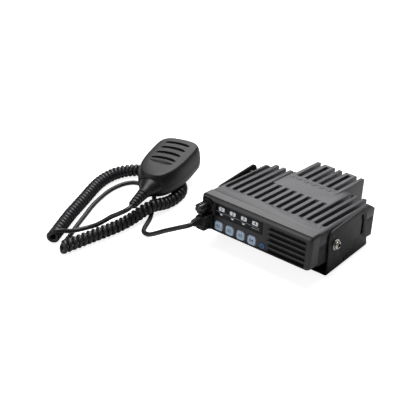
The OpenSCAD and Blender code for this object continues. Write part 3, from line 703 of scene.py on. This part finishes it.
def makeFrontPanel(look):
    half, top, face = look["width"] / 2, look["height"], look["face"]
    corner = look["corner"]
    profile = [  # depth, side inset, bottom inset, top inset, corner radius
        (look["depth"], 0, 0, 0, corner), (3.6, 0, 0, 0, corner), (2.9, 0.05, 0.02, 0.08, corner),
        (2.3, 0.2, 0.05, 0.5, corner), (1.2, 0.85, 0.1, 2.4, 3.4), (0.5, 1.4, 0.2, 3.7, 3.2),
        (0.12, 1.9, 0.4, 4.5, 3.0), (0, 2.3, 0.6, 5.0, 2.8)]
    rings = [roundedRing(inset - half, half - inset, low, top - high, radius, depth)
             for depth, inset, low, high, radius in profile]
    panel = loft("frontPanel", rings)
    left, right, bottom, upper = look["recess"]
    knobLeft, knobRight, knobBottom, knobTop = look["knobPocket"]
    cutAway(panel, joined("recesses", [
        pocket("recess", left, right, bottom, upper, 4.2, 0, face, 0.35, 8),
        pocket("knobPocket", knobLeft, knobRight, knobBottom, knobTop, 3.4, 0, 2.4, 0.4, 8)]))
    cutAway(panel, pocket("plugPocket", *look["plugPocket"], 1.2, -1, 2.4, 0.1))
    holes = [pocket("windowHole", *look["window"], 0.8, face, face + 1, 0.2)]
    for k in range(look["keys"]):
        u, w, reach = look["firstKey"] + k * look["keyStep"], look["keyUp"], look["keyHalf"]
        holes.append(pocket("keyHole", u - reach, u + reach, w - reach, w + reach, 3.1, face, 3.9, 0.25, 8))
        across, up = look["dimpleAt"]
        holes.append(turned("dimple", [(0.5, -2), (0.5, 0.5), (0.2, 0.7)], (u + across, face, up), (0, 1, 0), 10))
    u, w = look["powerAt"]
    reach = look["powerHalf"]
    holes.append(turned("powerHole", [(reach + 0.3, -2), (reach + 0.3, 0), (reach, 0.3), (reach, 2.2)],
                        (u, face, w), (0, 1, 0), 36))
    for k in range(look["louvres"]):
        w, high = look["louvreUp"] + k * look["louvreStep"], look["louvreHalf"]
        start, end = look["louvreLeft"], look["louvreRight"]
        holes.append(loft("louvre", [
            roundedRing(start - 1, end, w - high, w + high, 1.3, face - 2),
            roundedRing(start - 1, end, w - high, w + high, 1.3, face),
            roundedRing(start + 4, end - 0.1, w - high + 0.1, w + high - 0.1, 1.2, face + 1.2),
            roundedRing(start + 6.5, end - 0.2, w - high + 0.2, w + high - 0.2, 1.1, face + 4.4)]))
    cutAway(panel, joined("holes", holes))
    settle(panel, radioFrame, "radio", "panel_plastic", finish["panelPlastic"], "front_panel", sharpOver=28)


makeFrontPanel(panelLook)


# A rounded bar for each gap between louvres, thin at its left end.
def louvreTree():
    tree, given, result = newTree("louvreBars", {
        "Count": 4, "First": (20.0, 1.9, 6.7), "Step": (0.0, 0.0, 6.65), "Length": 47.0, "Half Height": 1.9,
        "Half Depth": 0.75, "Finish": None})
    line = addNode(tree, "GeometryNodeMeshLine", {"mode": "OFFSET"}, Count=given.outputs["Count"],
                   **{"Start Location": given.outputs["First"], "Offset": given.outputs["Step"]})
    bar = addNode(tree, "GeometryNodeCurvePrimitiveLine", End=vectorNode(tree, X=given.outputs["Length"]))
    fine = addNode(tree, "GeometryNodeResampleCurve", Curve=bar.outputs[0], Count=24)
    along = addNode(tree, "GeometryNodeSplineParameter")
    swell = rangeNode(tree, along.outputs["Factor"], {"From Max": 0.13, "To Min": 0.05}, smooth=True)
    drop = rangeNode(tree, along.outputs["Factor"], {
        "From Min": 0.985, "From Max": 1.0, "To Min": 1.0, "To Max": 0.7}, smooth=True)
    size = mathNode(tree, "MULTIPLY", swell, drop)
    shaped = addNode(tree, "GeometryNodeSetCurveRadius", Curve=fine.outputs[0], Radius=size)
    ring = addNode(tree, "GeometryNodeCurvePrimitiveCircle", Resolution=20, Radius=1.0)
    solid = addNode(tree, "GeometryNodeCurveToMesh", Curve=shaped.outputs[0], i1=ring.outputs[0],
                    **{"Fill Caps": True})
    scale = vectorNode(tree, X=1.0, Y=given.outputs["Half Depth"], Z=given.outputs["Half Height"])
    bars = addNode(tree, "GeometryNodeInstanceOnPoints", Points=line.outputs[0], Instance=solid.outputs[0],
                   Scale=scale)
    endTree(tree, given, result, bars.outputs[0])
    return tree


louvreLook = {"Count": 4, "Half Height": 1.35, "Half Depth": 0.85, "Length": 51.0}


def makeLouvreBars(look, panel):
    step = panel["louvreStep"]
    bars = growTree("louvreBars", louvreTree(), {
        **look, "First": (panel["louvreRight"] - look["Length"], panel["face"] + 0.3, panel["louvreUp"] + step / 2),
        "Step": (0, 0, step), "Finish": finish["panelPlastic"]})
    settle(bars, radioFrame, "radio", "panel_plastic", finish["panelPlastic"])


makeLouvreBars(louvreLook, panelLook)

collarLook = {"u": -67.6, "w": 26.5, "inner": 7.4, "outer": 8.7, "front": -0.3, "back": 2.5}


def makeKnobCollar(look):
    inner, outer, front, back = look["inner"], look["outer"], look["front"], look["back"]
    middle = (inner + outer) / 2
    collar = turned("knobCollar", [(inner, back), (inner, front + 0.4), (middle - 0.2, front), (middle + 0.2, front),
                                   (outer, front + 0.4), (outer, back)], (look["u"], 0, look["w"]), (0, 1, 0), 64,
                    tyre=True)
    trim = pocket("trim", -80, look["u"] + 20, -20, look["w"] - 7.6, 1, -1, 6, 0.01)
    outside = pocket("outside", -90, -73.0, 0, 60, 1, -1, 6, 0.01)
    cutAway(collar, trim, outside)
    settle(collar, radioFrame, "radio", "panel_plastic", finish["panelPlastic"])


makeKnobCollar(collarLook)
print("front panel made")


# ---- display window with its lit numbers ----
windowLook = {"gap": 0.25, "proud": 0.04, "lampWide": 7.9, "lampTall": 4.9, "lampUp": 28.5,
              "lamps": 4, "firstLamp": -47.0, "lampStep": 15.4, "ovalWide": 3.4, "ovalTall": 1.7, "ovalUp": 22.2,
              "lineUp": 24.6, "lineThick": 0.42, "lineLead": 7, "lineTail": 6, "dipHalf": (3.6, 2.2), "dip": 0.9,
              "dashes": 4, "dashFrom": -4, "dashStep": 2.6, "dashLong": 1.6, "dashUp": 22.4, "dashThick": 0.7,
              "numeral": 5.6}


def flatBar(name, start, end, depth, thick):
    (u0, w0), (u1, w1) = start, end
    run = Vector((u1 - u0, w1 - w0)).normalized() * thick / 2
    side = Vector((-run.y, run.x))
    corners = [(u0 - run.x + side.x, w0 - run.y + side.y), (u0 - run.x - side.x, w0 - run.y - side.y),
               (u1 + run.x - side.x, w1 + run.y - side.y), (u1 + run.x + side.x, w1 + run.y + side.y)]
    return loft(name, [[(u, depth, w) for u, w in corners], [(u, depth + 0.3, w) for u, w in corners]])


def numeralPiece(text, size, u, w, depth):
    data = bpy.data.curves.new("numeral", "FONT")
    data.body = text
    data.size = size
    data.align_x = "CENTER"
    data.align_y = "CENTER"
    data.extrude = 0.05
    data.offset = 0.045
    data.resolution_u = 3
    letter = newObject("numeral", data)
    mesh = finalMesh(letter)
    bpy.data.objects.remove(letter)
    mesh.transform(Matrix(((1, 0, 0, u), (0, 0, -1, depth), (0, 1, 0, w), (0, 0, 0, 1))))
    return newObject("numeral", mesh)


def lampPlate(u, w, wide, tall, radius, depth):
    return loft("lamp", [roundedRing(u - wide / 2, u + wide / 2, w - tall / 2, w + tall / 2, radius, level)
                         for level in (depth + 0.3, depth)])


def makeWindow(look, panel):
    left, right, bottom, top = panel["window"]
    gap, front = look["gap"], panel["face"] - look["proud"]
    glass = loft("displayWindow", [
        roundedRing(left + gap, right - gap, bottom + gap, top - gap, 0.7, front + 1),
        roundedRing(left + gap, right - gap, bottom + gap, top - gap, 0.7, front + 0.15),
        roundedRing(left + gap + 0.15, right - gap - 0.15, bottom + gap + 0.15, top - gap - 0.15, 0.6, front)])
    settle(glass, radioFrame, "radio", "window", finish["windowGloss"], "display_window")
    printed, lamps, numerals = [], [], []
    depth = front - 0.05
    places = [look["firstLamp"] + k * look["lampStep"] for k in range(look["lamps"])]
    for k, u in enumerate(places):
        lamps.append(lampPlate(u, look["lampUp"], look["lampWide"], look["lampTall"], 1.4, depth))
        numerals.append(numeralPiece(str(k + 1), look["numeral"], u, look["lampUp"], depth - 0.02))
        if u != places[-1]:
            lamps.append(lampPlate(u, look["ovalUp"], look["ovalWide"], look["ovalTall"], 0.8, depth))
    up, thick, dip = look["lineUp"], look["lineThick"], look["dip"]
    wide, narrow = look["dipHalf"]
    corner = (places[0] - look["lineLead"], up)
    for u in places[:-1]:
        steps = [corner, (u - wide, up), (u - narrow, up - dip), (u + narrow, up - dip), (u + wide, up)]
        printed += [flatBar("line", a, b, depth, thick) for a, b in zip(steps, steps[1:])]
        corner = steps[-1]
    printed.append(flatBar("line", corner, (places[-1] + look["lineTail"], up), depth, thick))
    for k in range(look["dashes"]):
        u, w = places[-1] + look["dashFrom"] + look["dashStep"] * k, look["dashUp"]
        printed.append(flatBar("line", (u, w), (u + look["dashLong"], w), depth, look["dashThick"]))
    settle(joined("windowLamps", lamps), radioFrame, "radio", "lamp", finish["litWhite"], "lamp_strip")
    settle(joined("windowLines", printed), radioFrame, "radio", "lamp", finish["printWhite"])
    settle(joined("windowNumerals", numerals), radioFrame, "radio", "window", finish["inkDark"])


makeWindow(windowLook, panelLook)
print("display window made")


# ---- keys and power button ----
keyLook = {"half": 5.4, "corner": 2.8, "front": 0.6, "back": 3.9, "numeral": 5.2}


def makeKeys(look, panel):
    for k in range(panel["keys"]):
        u, w, half = panel["firstKey"] + k * panel["keyStep"], panel["keyUp"], look["half"]
        front = look["front"]
        steps = [(look["back"], 0, look["corner"]), (front + 0.9, 0, look["corner"]), (front + 0.45, 0.15, 2.7),
                 (front + 0.18, 0.42, 2.4), (front + 0.05, 0.9, 1.8), (front, 1.6, 1.4), (front - 0.03, 3.0, 0.8)]
        key = loft("key%d" % (k + 1), [
            roundedRing(u - half + inset, u + half - inset, w - half + inset, w + half - inset, radius, depth, 7)
            for depth, inset, radius in steps])
        body = "key_%d" % (k + 1)
        settle(key, radioFrame, body, "key", finish["keyBlue"], body, sharpOver=50)
        legend = numeralPiece("0%d" % (k + 1), look["numeral"], u, w, front - 0.05)
        legend.name = "keyNumeral%d" % (k + 1)
        settle(legend, radioFrame, body, "key", finish["inkBlue"])


makeKeys(keyLook, panelLook)

powerLook = {"radius": 3.2, "ring": 1.9, "front": 0.6, "back": 3.9}


def makePowerButton(look, panel):
    u, w = panel["powerAt"]
    radius, ring, front = look["radius"], look["ring"], look["front"]
    button = turned("powerButton", [
        (radius, look["back"]), (radius, front + 0.5), (radius - 0.15, front + 0.2), (radius - 0.45, front),
        (ring + 0.3, front), (ring, front + 0.25), (ring - 0.1, front + 0.5), (ring - 0.5, front + 0.5),
        (0.2, front + 0.35)], (u, 0, w), (0, 1, 0), 48)
    settle(button, radioFrame, "power_button", "power_key", [finish["powerBlue"], finish["powerCentre"]],
           "power_button")
    centre = radioFrame @ Vector((u, front, w))
    for face in button.data.polygons:
        if (face.center - centre).length < (ring - 0.05) * 0.001:
            face.material_index = 1


makePowerButton(powerLook, panelLook)
print("keys made")


# ---- volume knob: a turned core with raised grips round it ----
def gripTree():
    tree, given, result = newTree("knobGrips", {
        "Count": 6, "Radius": 4.3, "Width": 3.2, "Height": 2.6, "Length": 11.6, "Turn": 0.0, "Finish": None})
    ring = addNode(tree, "GeometryNodeMeshCircle", Vertices=given.outputs["Count"], Radius=given.outputs["Radius"])
    index = addNode(tree, "GeometryNodeInputIndex")
    step = mathNode(tree, "DIVIDE", 2 * math.pi, given.outputs["Count"])
    turn = vectorNode(tree, Z=mathNode(tree, "MULTIPLY", index.outputs[0], step))
    size = vectorNode(tree, X=given.outputs["Height"], Y=given.outputs["Width"], Z=given.outputs["Length"])
    grip = addNode(tree, "GeometryNodeMeshCube", Size=size)
    grips = addNode(tree, "GeometryNodeInstanceOnPoints", Points=ring.outputs[0], Instance=grip.outputs[0],
                    Rotation=turn)
    leaning = addNode(tree, "GeometryNodeTransform", Geometry=grips.outputs[0],
                      Rotation=vectorNode(tree, Z=given.outputs["Turn"]))
    endTree(tree, given, result, leaning.outputs[0])
    return tree


knobLook = {"front": -14, "back": -0.4, "radius": 5.0, "grips": 7, "gripRadius": 4.9, "gripWidth": 3.4,
            "gripTurn": 98, "edge": 0.5}


def makeKnob(look):
    u, w = collarLook["u"], collarLook["w"]
    front, radius = look["front"], look["radius"]
    core = turned("core", [(4.4, 0.6), (4.4, look["back"]), (radius, look["back"] - 0.3), (radius, front + 1.1),
                           (radius - 0.3, front + 0.5), (radius - 1.0, front + 0.15), (radius - 1.4, front + 0.12),
                           (radius - 1.7, front + 0.5), (0.4, front + 0.5)], (u, 0, w), (0, 1, 0), 56)
    length = look["back"] - front - 1.6
    grips = growTree("grips", gripTree(), {
        "Count": look["grips"], "Radius": look["gripRadius"], "Width": look["gripWidth"], "Length": length,
        "Turn": math.radians(look["gripTurn"]), "Finish": finish["knobBlack"]})
    grips.data.transform(Matrix(((1, 0, 0, u), (0, 0, -1, look["back"] - 0.5 - length / 2), (0, 1, 0, w),
                                 (0, 0, 0, 1))))
    soften(facingOut(grips), look["edge"], 3)
    lean = math.radians(look["gripTurn"])
    pointer = pocket("pointer", -0.75, 0.75, 5.1, 9, 0.5, front + 2.2, front + 10.4, 0.05)
    pointer.data.transform(Matrix.Translation((u, 0, w)) @ Matrix.Rotation(math.pi / 2 - lean, 4, "Y"))
    cutAway(grips, pointer)
    knob = joined("volumeKnob", [core, grips])
    settle(knob, radioFrame, "volume_knob", "knob", finish["knobBlack"], "volume_knob")


makeKnob(knobLook)
print("knob made")


# ---- microphone plug and its boot ----
plugLook = {"left": -71.6, "right": -58.6, "bottom": 1.2, "top": 18.2, "front": -12.5, "flangeFront": -2.6,
            "flange": (-73, -57, 0.8, 18.4), "corner": 1.8}


def makePlug(look):
    left, right, bottom, top, corner = (look[key] for key in ("left", "right", "bottom", "top", "corner"))
    front = look["front"]
    nose = loft("nose", [
        roundedRing(left + inset, right - inset, bottom + inset * 0.6, top - inset - lean, radius, depth)
        for depth, inset, lean, radius in [
            (0.5, 0, 0, corner), (front + 4, 0, 0, corner), (front + 1.4, 0.1, 0.4, corner),
            (front + 0.5, 0.5, 0.9, 2.4), (front + 0.1, 1.2, 1.3, 2.0), (front, 2.0, 1.8, 1.6)]])
    fl, fr, fb, ft = look["flange"]
    start = look["flangeFront"]
    flange = loft("flange", [
        roundedRing(fl + inset, fr - inset, fb + inset, ft - inset, 2.2, depth)
        for depth, inset in [(2.2, 0), (start + 0.5, 0), (start + 0.15, 0.15), (start, 0.5)]])
    latch = loft("latch", [
        roundedRing(left + 4.6 + inset, right - 4 - inset, top - 1.2, top + 1.0 - inset, 0.7, depth)
        for depth, inset in [(start + 0.4, 0), (start - 4, 0), (start - 4.6, 0.3)]])
    plug = joined("micPlug", [nose, flange, latch])
    settle(plug, radioFrame, "radio", "rubber", finish["blackRubber"], "mic_plug")


# Rings of a boot or the turns of a thread: discs in a row, from a first radius to a last.
def ringTree():
    tree, given, result = newTree("ringRow", {
        "Count": 5, "Start": (0.0, 0.0, 0.0), "Step": (0.0, 0.0, 5.0), "First Radius": 5.0, "Last Radius": 4.0,
        "Thickness": 2.4, "Finish": None})
    line = addNode(tree, "GeometryNodeMeshLine", {"mode": "OFFSET"}, Count=given.outputs["Count"],
                   **{"Start Location": given.outputs["Start"], "Offset": given.outputs["Step"]})
    index = addNode(tree, "GeometryNodeInputIndex")
    last = mathNode(tree, "SUBTRACT", given.outputs["Count"], 1.0)
    radius = rangeNode(tree, index.outputs[0], {
        "From Max": last, "To Min": given.outputs["First Radius"], "To Max": given.outputs["Last Radius"]})
    disc = addNode(tree, "GeometryNodeMeshCylinder", Vertices=40, Radius=1.0, Depth=given.outputs["Thickness"])
    discs = addNode(tree, "GeometryNodeInstanceOnPoints", Points=line.outputs[0], Instance=disc.outputs[0],
                    Scale=vectorNode(tree, X=radius, Y=radius, Z=1.0))
    endTree(tree, given, result, discs.outputs[0])
    return tree


rings = ringTree()


def aimedAt(start, axis):
    turn = Vector(axis).normalized().to_track_quat("Z", "X").to_matrix().to_4x4()
    return Matrix.Translation(start) @ turn


bootLook = {"start": (-66.2, -11.5, 12.8), "ribs": 2}


def makePlugBoot(look):
    axis = Vector((0, -1, 0))
    sleeve = turned("sleeve", [(6.6, 0), (6.2, 1.2), (5.0, 2.6), (4.4, 5), (3.9, 8.4), (3.5, 11), (3.5, 12.4),
                               (3.2, 12.8), (2.5, 13)], look["start"], axis, 44)
    ribs = growTree("ribs", rings, {"Count": look["ribs"], "Start": (0, 0, 7.2), "Step": (0, 0, 2.8),
                                    "First Radius": 4.7, "Last Radius": 4.4, "Thickness": 1.6,
                                    "Finish": finish["blackRubber"]})
    ribs.data.transform(aimedAt(look["start"], axis))
    soften(facingOut(ribs), 0.4, 3)
    boot = joined("plugBoot", [sleeve, ribs])
    settle(boot, radioFrame, "radio", "rubber", finish["blackRubber"], "plug_boot")


makePlug(plugLook)
makePlugBoot(bootLook)
print("plug made")


# ---- rear connectors and screws, with their edges broken ----
threadLook = {"count": 11, "step": 1.06, "radius": 7.94, "thickness": 0.42}
hardware = {"power_inlet": ("powerInlet", 0.25, "insulator", "creamInsulator"),
            "speaker_jack": ("speakerJack", 0.2, "knob", "knobBlack"),
            "pivot_screws": ("pivotScrews", 0.25, "nickel", "nickel"),
            "pivot_washers": ("pivotWashers", 0.12, "nickel", "nickel"),
            "panel_screws": ("panelScrews", 0.12, "dark_screw", "blackScrew")}


def makeHardware(parts, thread):
    for node, (name, width, slotName, look) in parts.items():
        piece = soften(copyOfNode(name, node, radioFrame), width)
        settle(piece, radioFrame, "radio", slotName, finish[look], node)
    socket = mountNamed("antenna_socket")
    centre = radioFrame.inverted() @ Vector(socket["pos_m"])
    base = soften(copyOfNode("antennaBase", "antenna_connector", radioFrame), 0.15)
    rearEnd = centre.y + socket["dims"]["length_mm"] / 2 - 0.9
    turns = growTree("turns", rings, {
        "Count": thread["count"], "Start": (0, 0, 0), "Step": (0, 0, -thread["step"]),
        "First Radius": thread["radius"] + 0.12, "Last Radius": thread["radius"] + 0.12,
        "Thickness": thread["thickness"], "Finish": finish["nickel"]})
    turns.data.transform(aimedAt((centre.x, rearEnd, centre.z), (0, 1, 0)))
    bore = turned("bore", [(7.2, -20), (7.2, 10)], (centre.x, rearEnd, centre.z), (0, 1, 0), 40)
    cutAway(turns, bore)
    socketPiece = joined("antennaSocket", [base, turns])
    settle(socketPiece, radioFrame, "radio", "nickel", finish["nickel"], "antenna_connector")


makeHardware(hardware, threadLook)
print("connectors and screws made")


# ---- hand microphone ----
# Half of the outline, from the middle of the top round to the middle of the cord's end. The front and the rear are
# each a rise from the seam with the distance that the outline is drawn in there.
micLook = {"outline": [(0, 55.4), (10, 54.8), (19, 52.2), (25, 46.6), (28.2, 38.4), (28.9, 28), (28.9, 14), (28.5, 2),
                       (27.3, -10), (24.8, -22), (21, -32), (16.2, -39.8), (10, -44.6), (4.6, -46.2), (0, -46.4)],
           "seam": 12,
           "front": [(0, 0.45), (0.25, 0), (3.5, 0.1), (8, 0.5), (12, 1.3), (14.6, 2.2), (16.2, 3.2), (16.9, 3.9),
                     (17.3, 4.6), (17.5, 5.4), (17.7, 6.6), (18.0, 8.4), (18.4, 11.4)],
           "rear": [(0, 0.45), (0.25, 0), (4, 0.1), (7.5, 0.5), (9.6, 1.3), (11, 2.6), (11.8, 4.2), (12, 5.8)],
           "slots": 4, "firstSlot": 36, "slotStep": 13.3, "slotHalf": 16, "slotBow": 2.8, "slotThick": 2.5,
           "slotFloor": 23.5, "crownAt": (0, 6), "crown": 0.5}


def micOutline(look, perStretch=5):
    right = look["outline"]
    left = [(-x, y) for x, y in reversed(right[1:-1])]
    closed = [Vector(point) for point in right + left]
    count = len(closed)
    points = []
    for k in range(count):
        before, start, end, after = (closed[(k + shift) % count] for shift in (-1, 0, 1, 2))
        for step in range(perStretch):
            t = step / perStretch
            points.append(0.5 * (2 * start + (end - before) * t + (2 * before - 5 * start + 4 * end - after) * t * t
                                 + (3 * start - before - 3 * end + after) * t ** 3))
    return points


# The outline drawn in by a distance along its own normals.
def insetOutline(points, distance):
    count = len(points)
    moved = []
    for k in range(count):
        run = (points[(k + 1) % count] - points[k - 1]).normalized()
        moved.append(points[k] + Vector((run.y, -run.x)) * distance)
    return moved


def micShell(name, look, steps, upward):
    outline = micOutline(look)
    shellRings = []
    for rise, inset in steps:
        height = look["seam"] + (rise if upward else -rise)
        shellRings.append([(p.x, p.y, height) for p in insetOutline(outline, inset)])
    x0, y0 = look["crownAt"]
    last = shellRings[-1]
    for share, lift in ((0.86, 0.4), (0.68, 0.75), (0.45, 0.95), (0.2, 1.0)):
        level = last[0][2] + (look["crown"] * lift if upward else 0)
        shellRings.append([(x0 + (x - x0) * share, y0 + (y - y0) * share, level) for x, y, _ in last])
    return loft(name, shellRings)


# A slot bowed towards the top, pointed at its ends and wider at its mouth.
def bowedSlot(look, middle, half, thick, bow, floor, top):
    rings = []
    for height, longer, wider in ((floor, -0.8, -0.5), (top - 1.2, 0, 0), (top, 0.5, 0.4), (top + 3, 0.5, 0.4)):
        upper, lower = [], []
        for k in range(-10, 11):
            share = k / 10
            y = middle + bow * (0.5 - share * share)
            swell = (thick + wider) * max(1 - abs(share) ** 6, 0) ** 0.5
            upper.append(((half + longer) * share, y + swell, height))
            lower.append(((half + longer) * share, y - swell, height))
        rings.append(upper + lower[-2:0:-1])
    return loft("slot", rings)


def makeMicCases(look):
    top = look["seam"] + look["front"][-1][0] + look["crown"]
    front = micShell("micFrontShell", look, look["front"], True)
    slots = [bowedSlot(look, look["firstSlot"] - k * look["slotStep"], look["slotHalf"], look["slotThick"],
                       look["slotBow"], look["slotFloor"], top) for k in range(look["slots"])]
    cutAway(front, joined("slots", slots), thumbScoop(top, scoopLook), neckRoom(), pttRoom(pttLook))
    settle(front, micFrame, "microphone", "mic_case", finish["micPlastic"], "mic_front_case", sharpOver=30)
    rear = micShell("micRearShell", look, look["rear"], False)
    cutAway(rear, neckRoom())
    settle(rear, micFrame, "microphone", "mic_case", finish["micPlastic"], "mic_rear_case", sharpOver=30)


# A crescent for the thumb: a wall bowed like the slots, and a floor that rises to the face away from it.
scoopLook = {"half": 17.5, "wallAt": -11.2, "bow": 2.2, "reach": 12.5, "deep": 1.9, "wallShare": 0.28}


def thumbScoop(top, look):
    columns, rows = 24, 11
    points, faces = [], []
    for level in (0, 1):
        for row in range(rows + 1):
            part = row / rows
            for column in range(columns + 1):
                share = 2 * column / columns - 1
                wall = look["wallAt"] + look["bow"] * (1 - share * share)
                y = wall - part * (0.05 + look["reach"] * max(1 - share * share, 0) ** 0.8)
                fall = min(part / look["wallShare"], 1) * min((1 - part) / (1 - look["wallShare"]), 1) ** 1.2
                depth = look["deep"] * fall * max(1 - share ** 4, 0)
                points.append((look["half"] * share, y, top + 3 if level else top + 0.15 - depth))
    size = (rows + 1) * (columns + 1)
    across = columns + 1
    for level in (0, 1):
        for row in range(rows):
            for column in range(columns):
                first = level * size + row * across + column
                faces.append((first, first + 1, first + across + 1, first + across))
    border = [row * across for row in range(rows)] + [rows * across + column for column in range(columns)]
    border += [row * across + columns for row in range(rows, 0, -1)] + list(range(columns, 0, -1))
    for here, then in zip(border, border[1:] + border[:1]):
        faces.append((here, then, then + size, here + size))
    return facingOut(newPiece("scoop", points, faces))


neckLook = {"axis": 13.5, "rings": [(-30, 16.0, 13.0), (-38, 15.2, 12.6), (-43, 13.8, 11.8), (-47, 12.1, 10.9),
                                    (-51, 10.2, 9.8), (-54.5, 8.6, 8.5), (-57.5, 7.5, 7.5), (-60, 7.0, 7.0),
                                    (-61.2, 6.8, 6.8)]}


def neckLoft(name, look, extra):
    rows = []
    for y, wide, tall in look["rings"]:
        turn = [2 * math.pi * k / 48 for k in range(48)]
        rows.append([((wide + extra) * math.cos(a), y, look["axis"] + (tall + extra) * math.sin(a)) for a in turn])
    return loft(name, rows)


def neckRoom():
    return neckLoft("neckRoom", neckLook, 0.3)


# The push-to-talk button, and its pocket in the case, which leaves room for its travel.
pttLook = {"from": -5.6, "to": 27.6, "back": -20.5, "endRound": 0.9, "roomFrom": -6.5, "roomTo": 28.5,
           "roomBack": -18.8, "roomBottom": 13, "roomTop": 22.9,
           "sections": [(13.5, 0.9), (14.4, -0.1), (16, -0.5), (19.6, 0.1), (21.4, 0.8), (22.3, 1.8)]}


def pttRoom(look):
    low, high, bottom, top = (look["room" + part] for part in ("From", "To", "Bottom", "Top"))
    return loft("pttRoom", [[(x, y, z) for y, z in ((low, bottom), (high, bottom), (high, top), (low, top))]
                            for x in (-40, look["roomBack"])])


def makeNeckAndBoot(look):
    neck = neckLoft("cordCap", look, 0)
    settle(neck, micFrame, "microphone", "mic_case", finish["micPlastic"], "cord_cap")
    start = (0, -60.6, look["axis"])
    sleeve = turned("sleeve", [(5.4, -2), (5.4, 0), (4.8, 12), (4.3, 24), (4.2, 29), (3.8, 30), (2.5, 30.4)], start,
                    (0, -1, 0), 40)
    ribs = growTree("ribs", rings, {"Count": 5, "Start": (0, 0, 2.4), "Step": (0, 0, 5.7), "First Radius": 6.7,
                                    "Last Radius": 5.3, "Thickness": 4.3, "Finish": finish["blackRubber"]})
    ribs.data.transform(aimedAt(start, (0, -1, 0)))
    soften(facingOut(ribs), 0.7, 3)
    boot = joined("micBoot", [sleeve, ribs])
    settle(boot, micFrame, "microphone", "rubber", finish["blackRubber"], "mic_boot")


def makePtt(look):
    outline = micOutline(micLook)
    rows = []
    for z, inset in look["sections"]:
        ring = [p for p in insetOutline(outline, inset) if p.x < -15 and look["from"] < p.y < look["to"]]
        ring.sort(key=lambda p: p.y)
        wall = [(p.x, p.y, z) for p in ring]
        for end in (0, -1):
            wall[end] = (wall[end][0] + look["endRound"], wall[end][1], z)
        rows.append(wall + [(look["back"], wall[end][1], z) for end in (-1, 0)])
    button = loft("pttButton", rows)
    settle(button, micFrame, "ptt_button", "mic_case", finish["blackRubber"], "ptt_button", sharpOver=40)


makeMicCases(micLook)
makeNeckAndBoot(neckLook)
makePtt(pttLook)
print("microphone made")


# ---- everything that stays as the CAD made it gets its own finish ----
nodesOfFinish = {
    "bracketSteel": ["bracket"],
    "castDark": ["lower_chassis"],
    "castGrey": ["heat_sink"],
    "panelPlastic": ["front_panel"],
    "blackRubber": ["panel_gasket", "key_mat", "mic_plug", "plug_boot", "mic_boot", "capsule_holder"],
    "windowGloss": ["display_window"],
    "litWhite": ["lamp_strip"],
    "tinned": ["speaker_frame", "speaker_magnet", "shield_cans", "volume_pot", "volume_shaft", "ptt_switch"],
    "acousticCloth": ["speaker_cone", "speaker_felt", "mic_screen"],
    "boardGreen": ["front_board", "main_board", "mic_board"],
    "filmCable": ["ribbon_cable"],
    "moduleGrey": ["power_module"],
    "sleeveBlue": ["capacitors"],
    "knobBlack": ["volume_knob", "mic_jack", "speaker_jack"],
    "keyBlue": ["key_1", "key_2", "key_3", "key_4"],
    "powerBlue": ["power_button"],
    "nickel": ["antenna_connector", "cover_screws", "pivot_screws", "pivot_washers", "mic_capsule",
               "hanger_stud"],
    "creamInsulator": ["antenna_centre", "power_inlet"],
    "blackScrew": ["panel_screws", "mic_screws"],
    "micPlastic": ["mic_front_case", "mic_rear_case", "cord_cap", "ptt_button"]}


def dressNodes():
    for finishName, nodes in nodesOfFinish.items():
        for node in nodes:
            for entry in frame["nodes"][node].material_slots:
                entry.material = finish[finishName]


dressNodes()


# ---- the two straight leads with their placements baked into their meshes ----
def declareCords():
    plugLead, plugLine = cords["plug"]
    micLead, micLine = cords["mic"]
    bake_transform(plugLead)
    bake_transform(micLead)


declareCords()
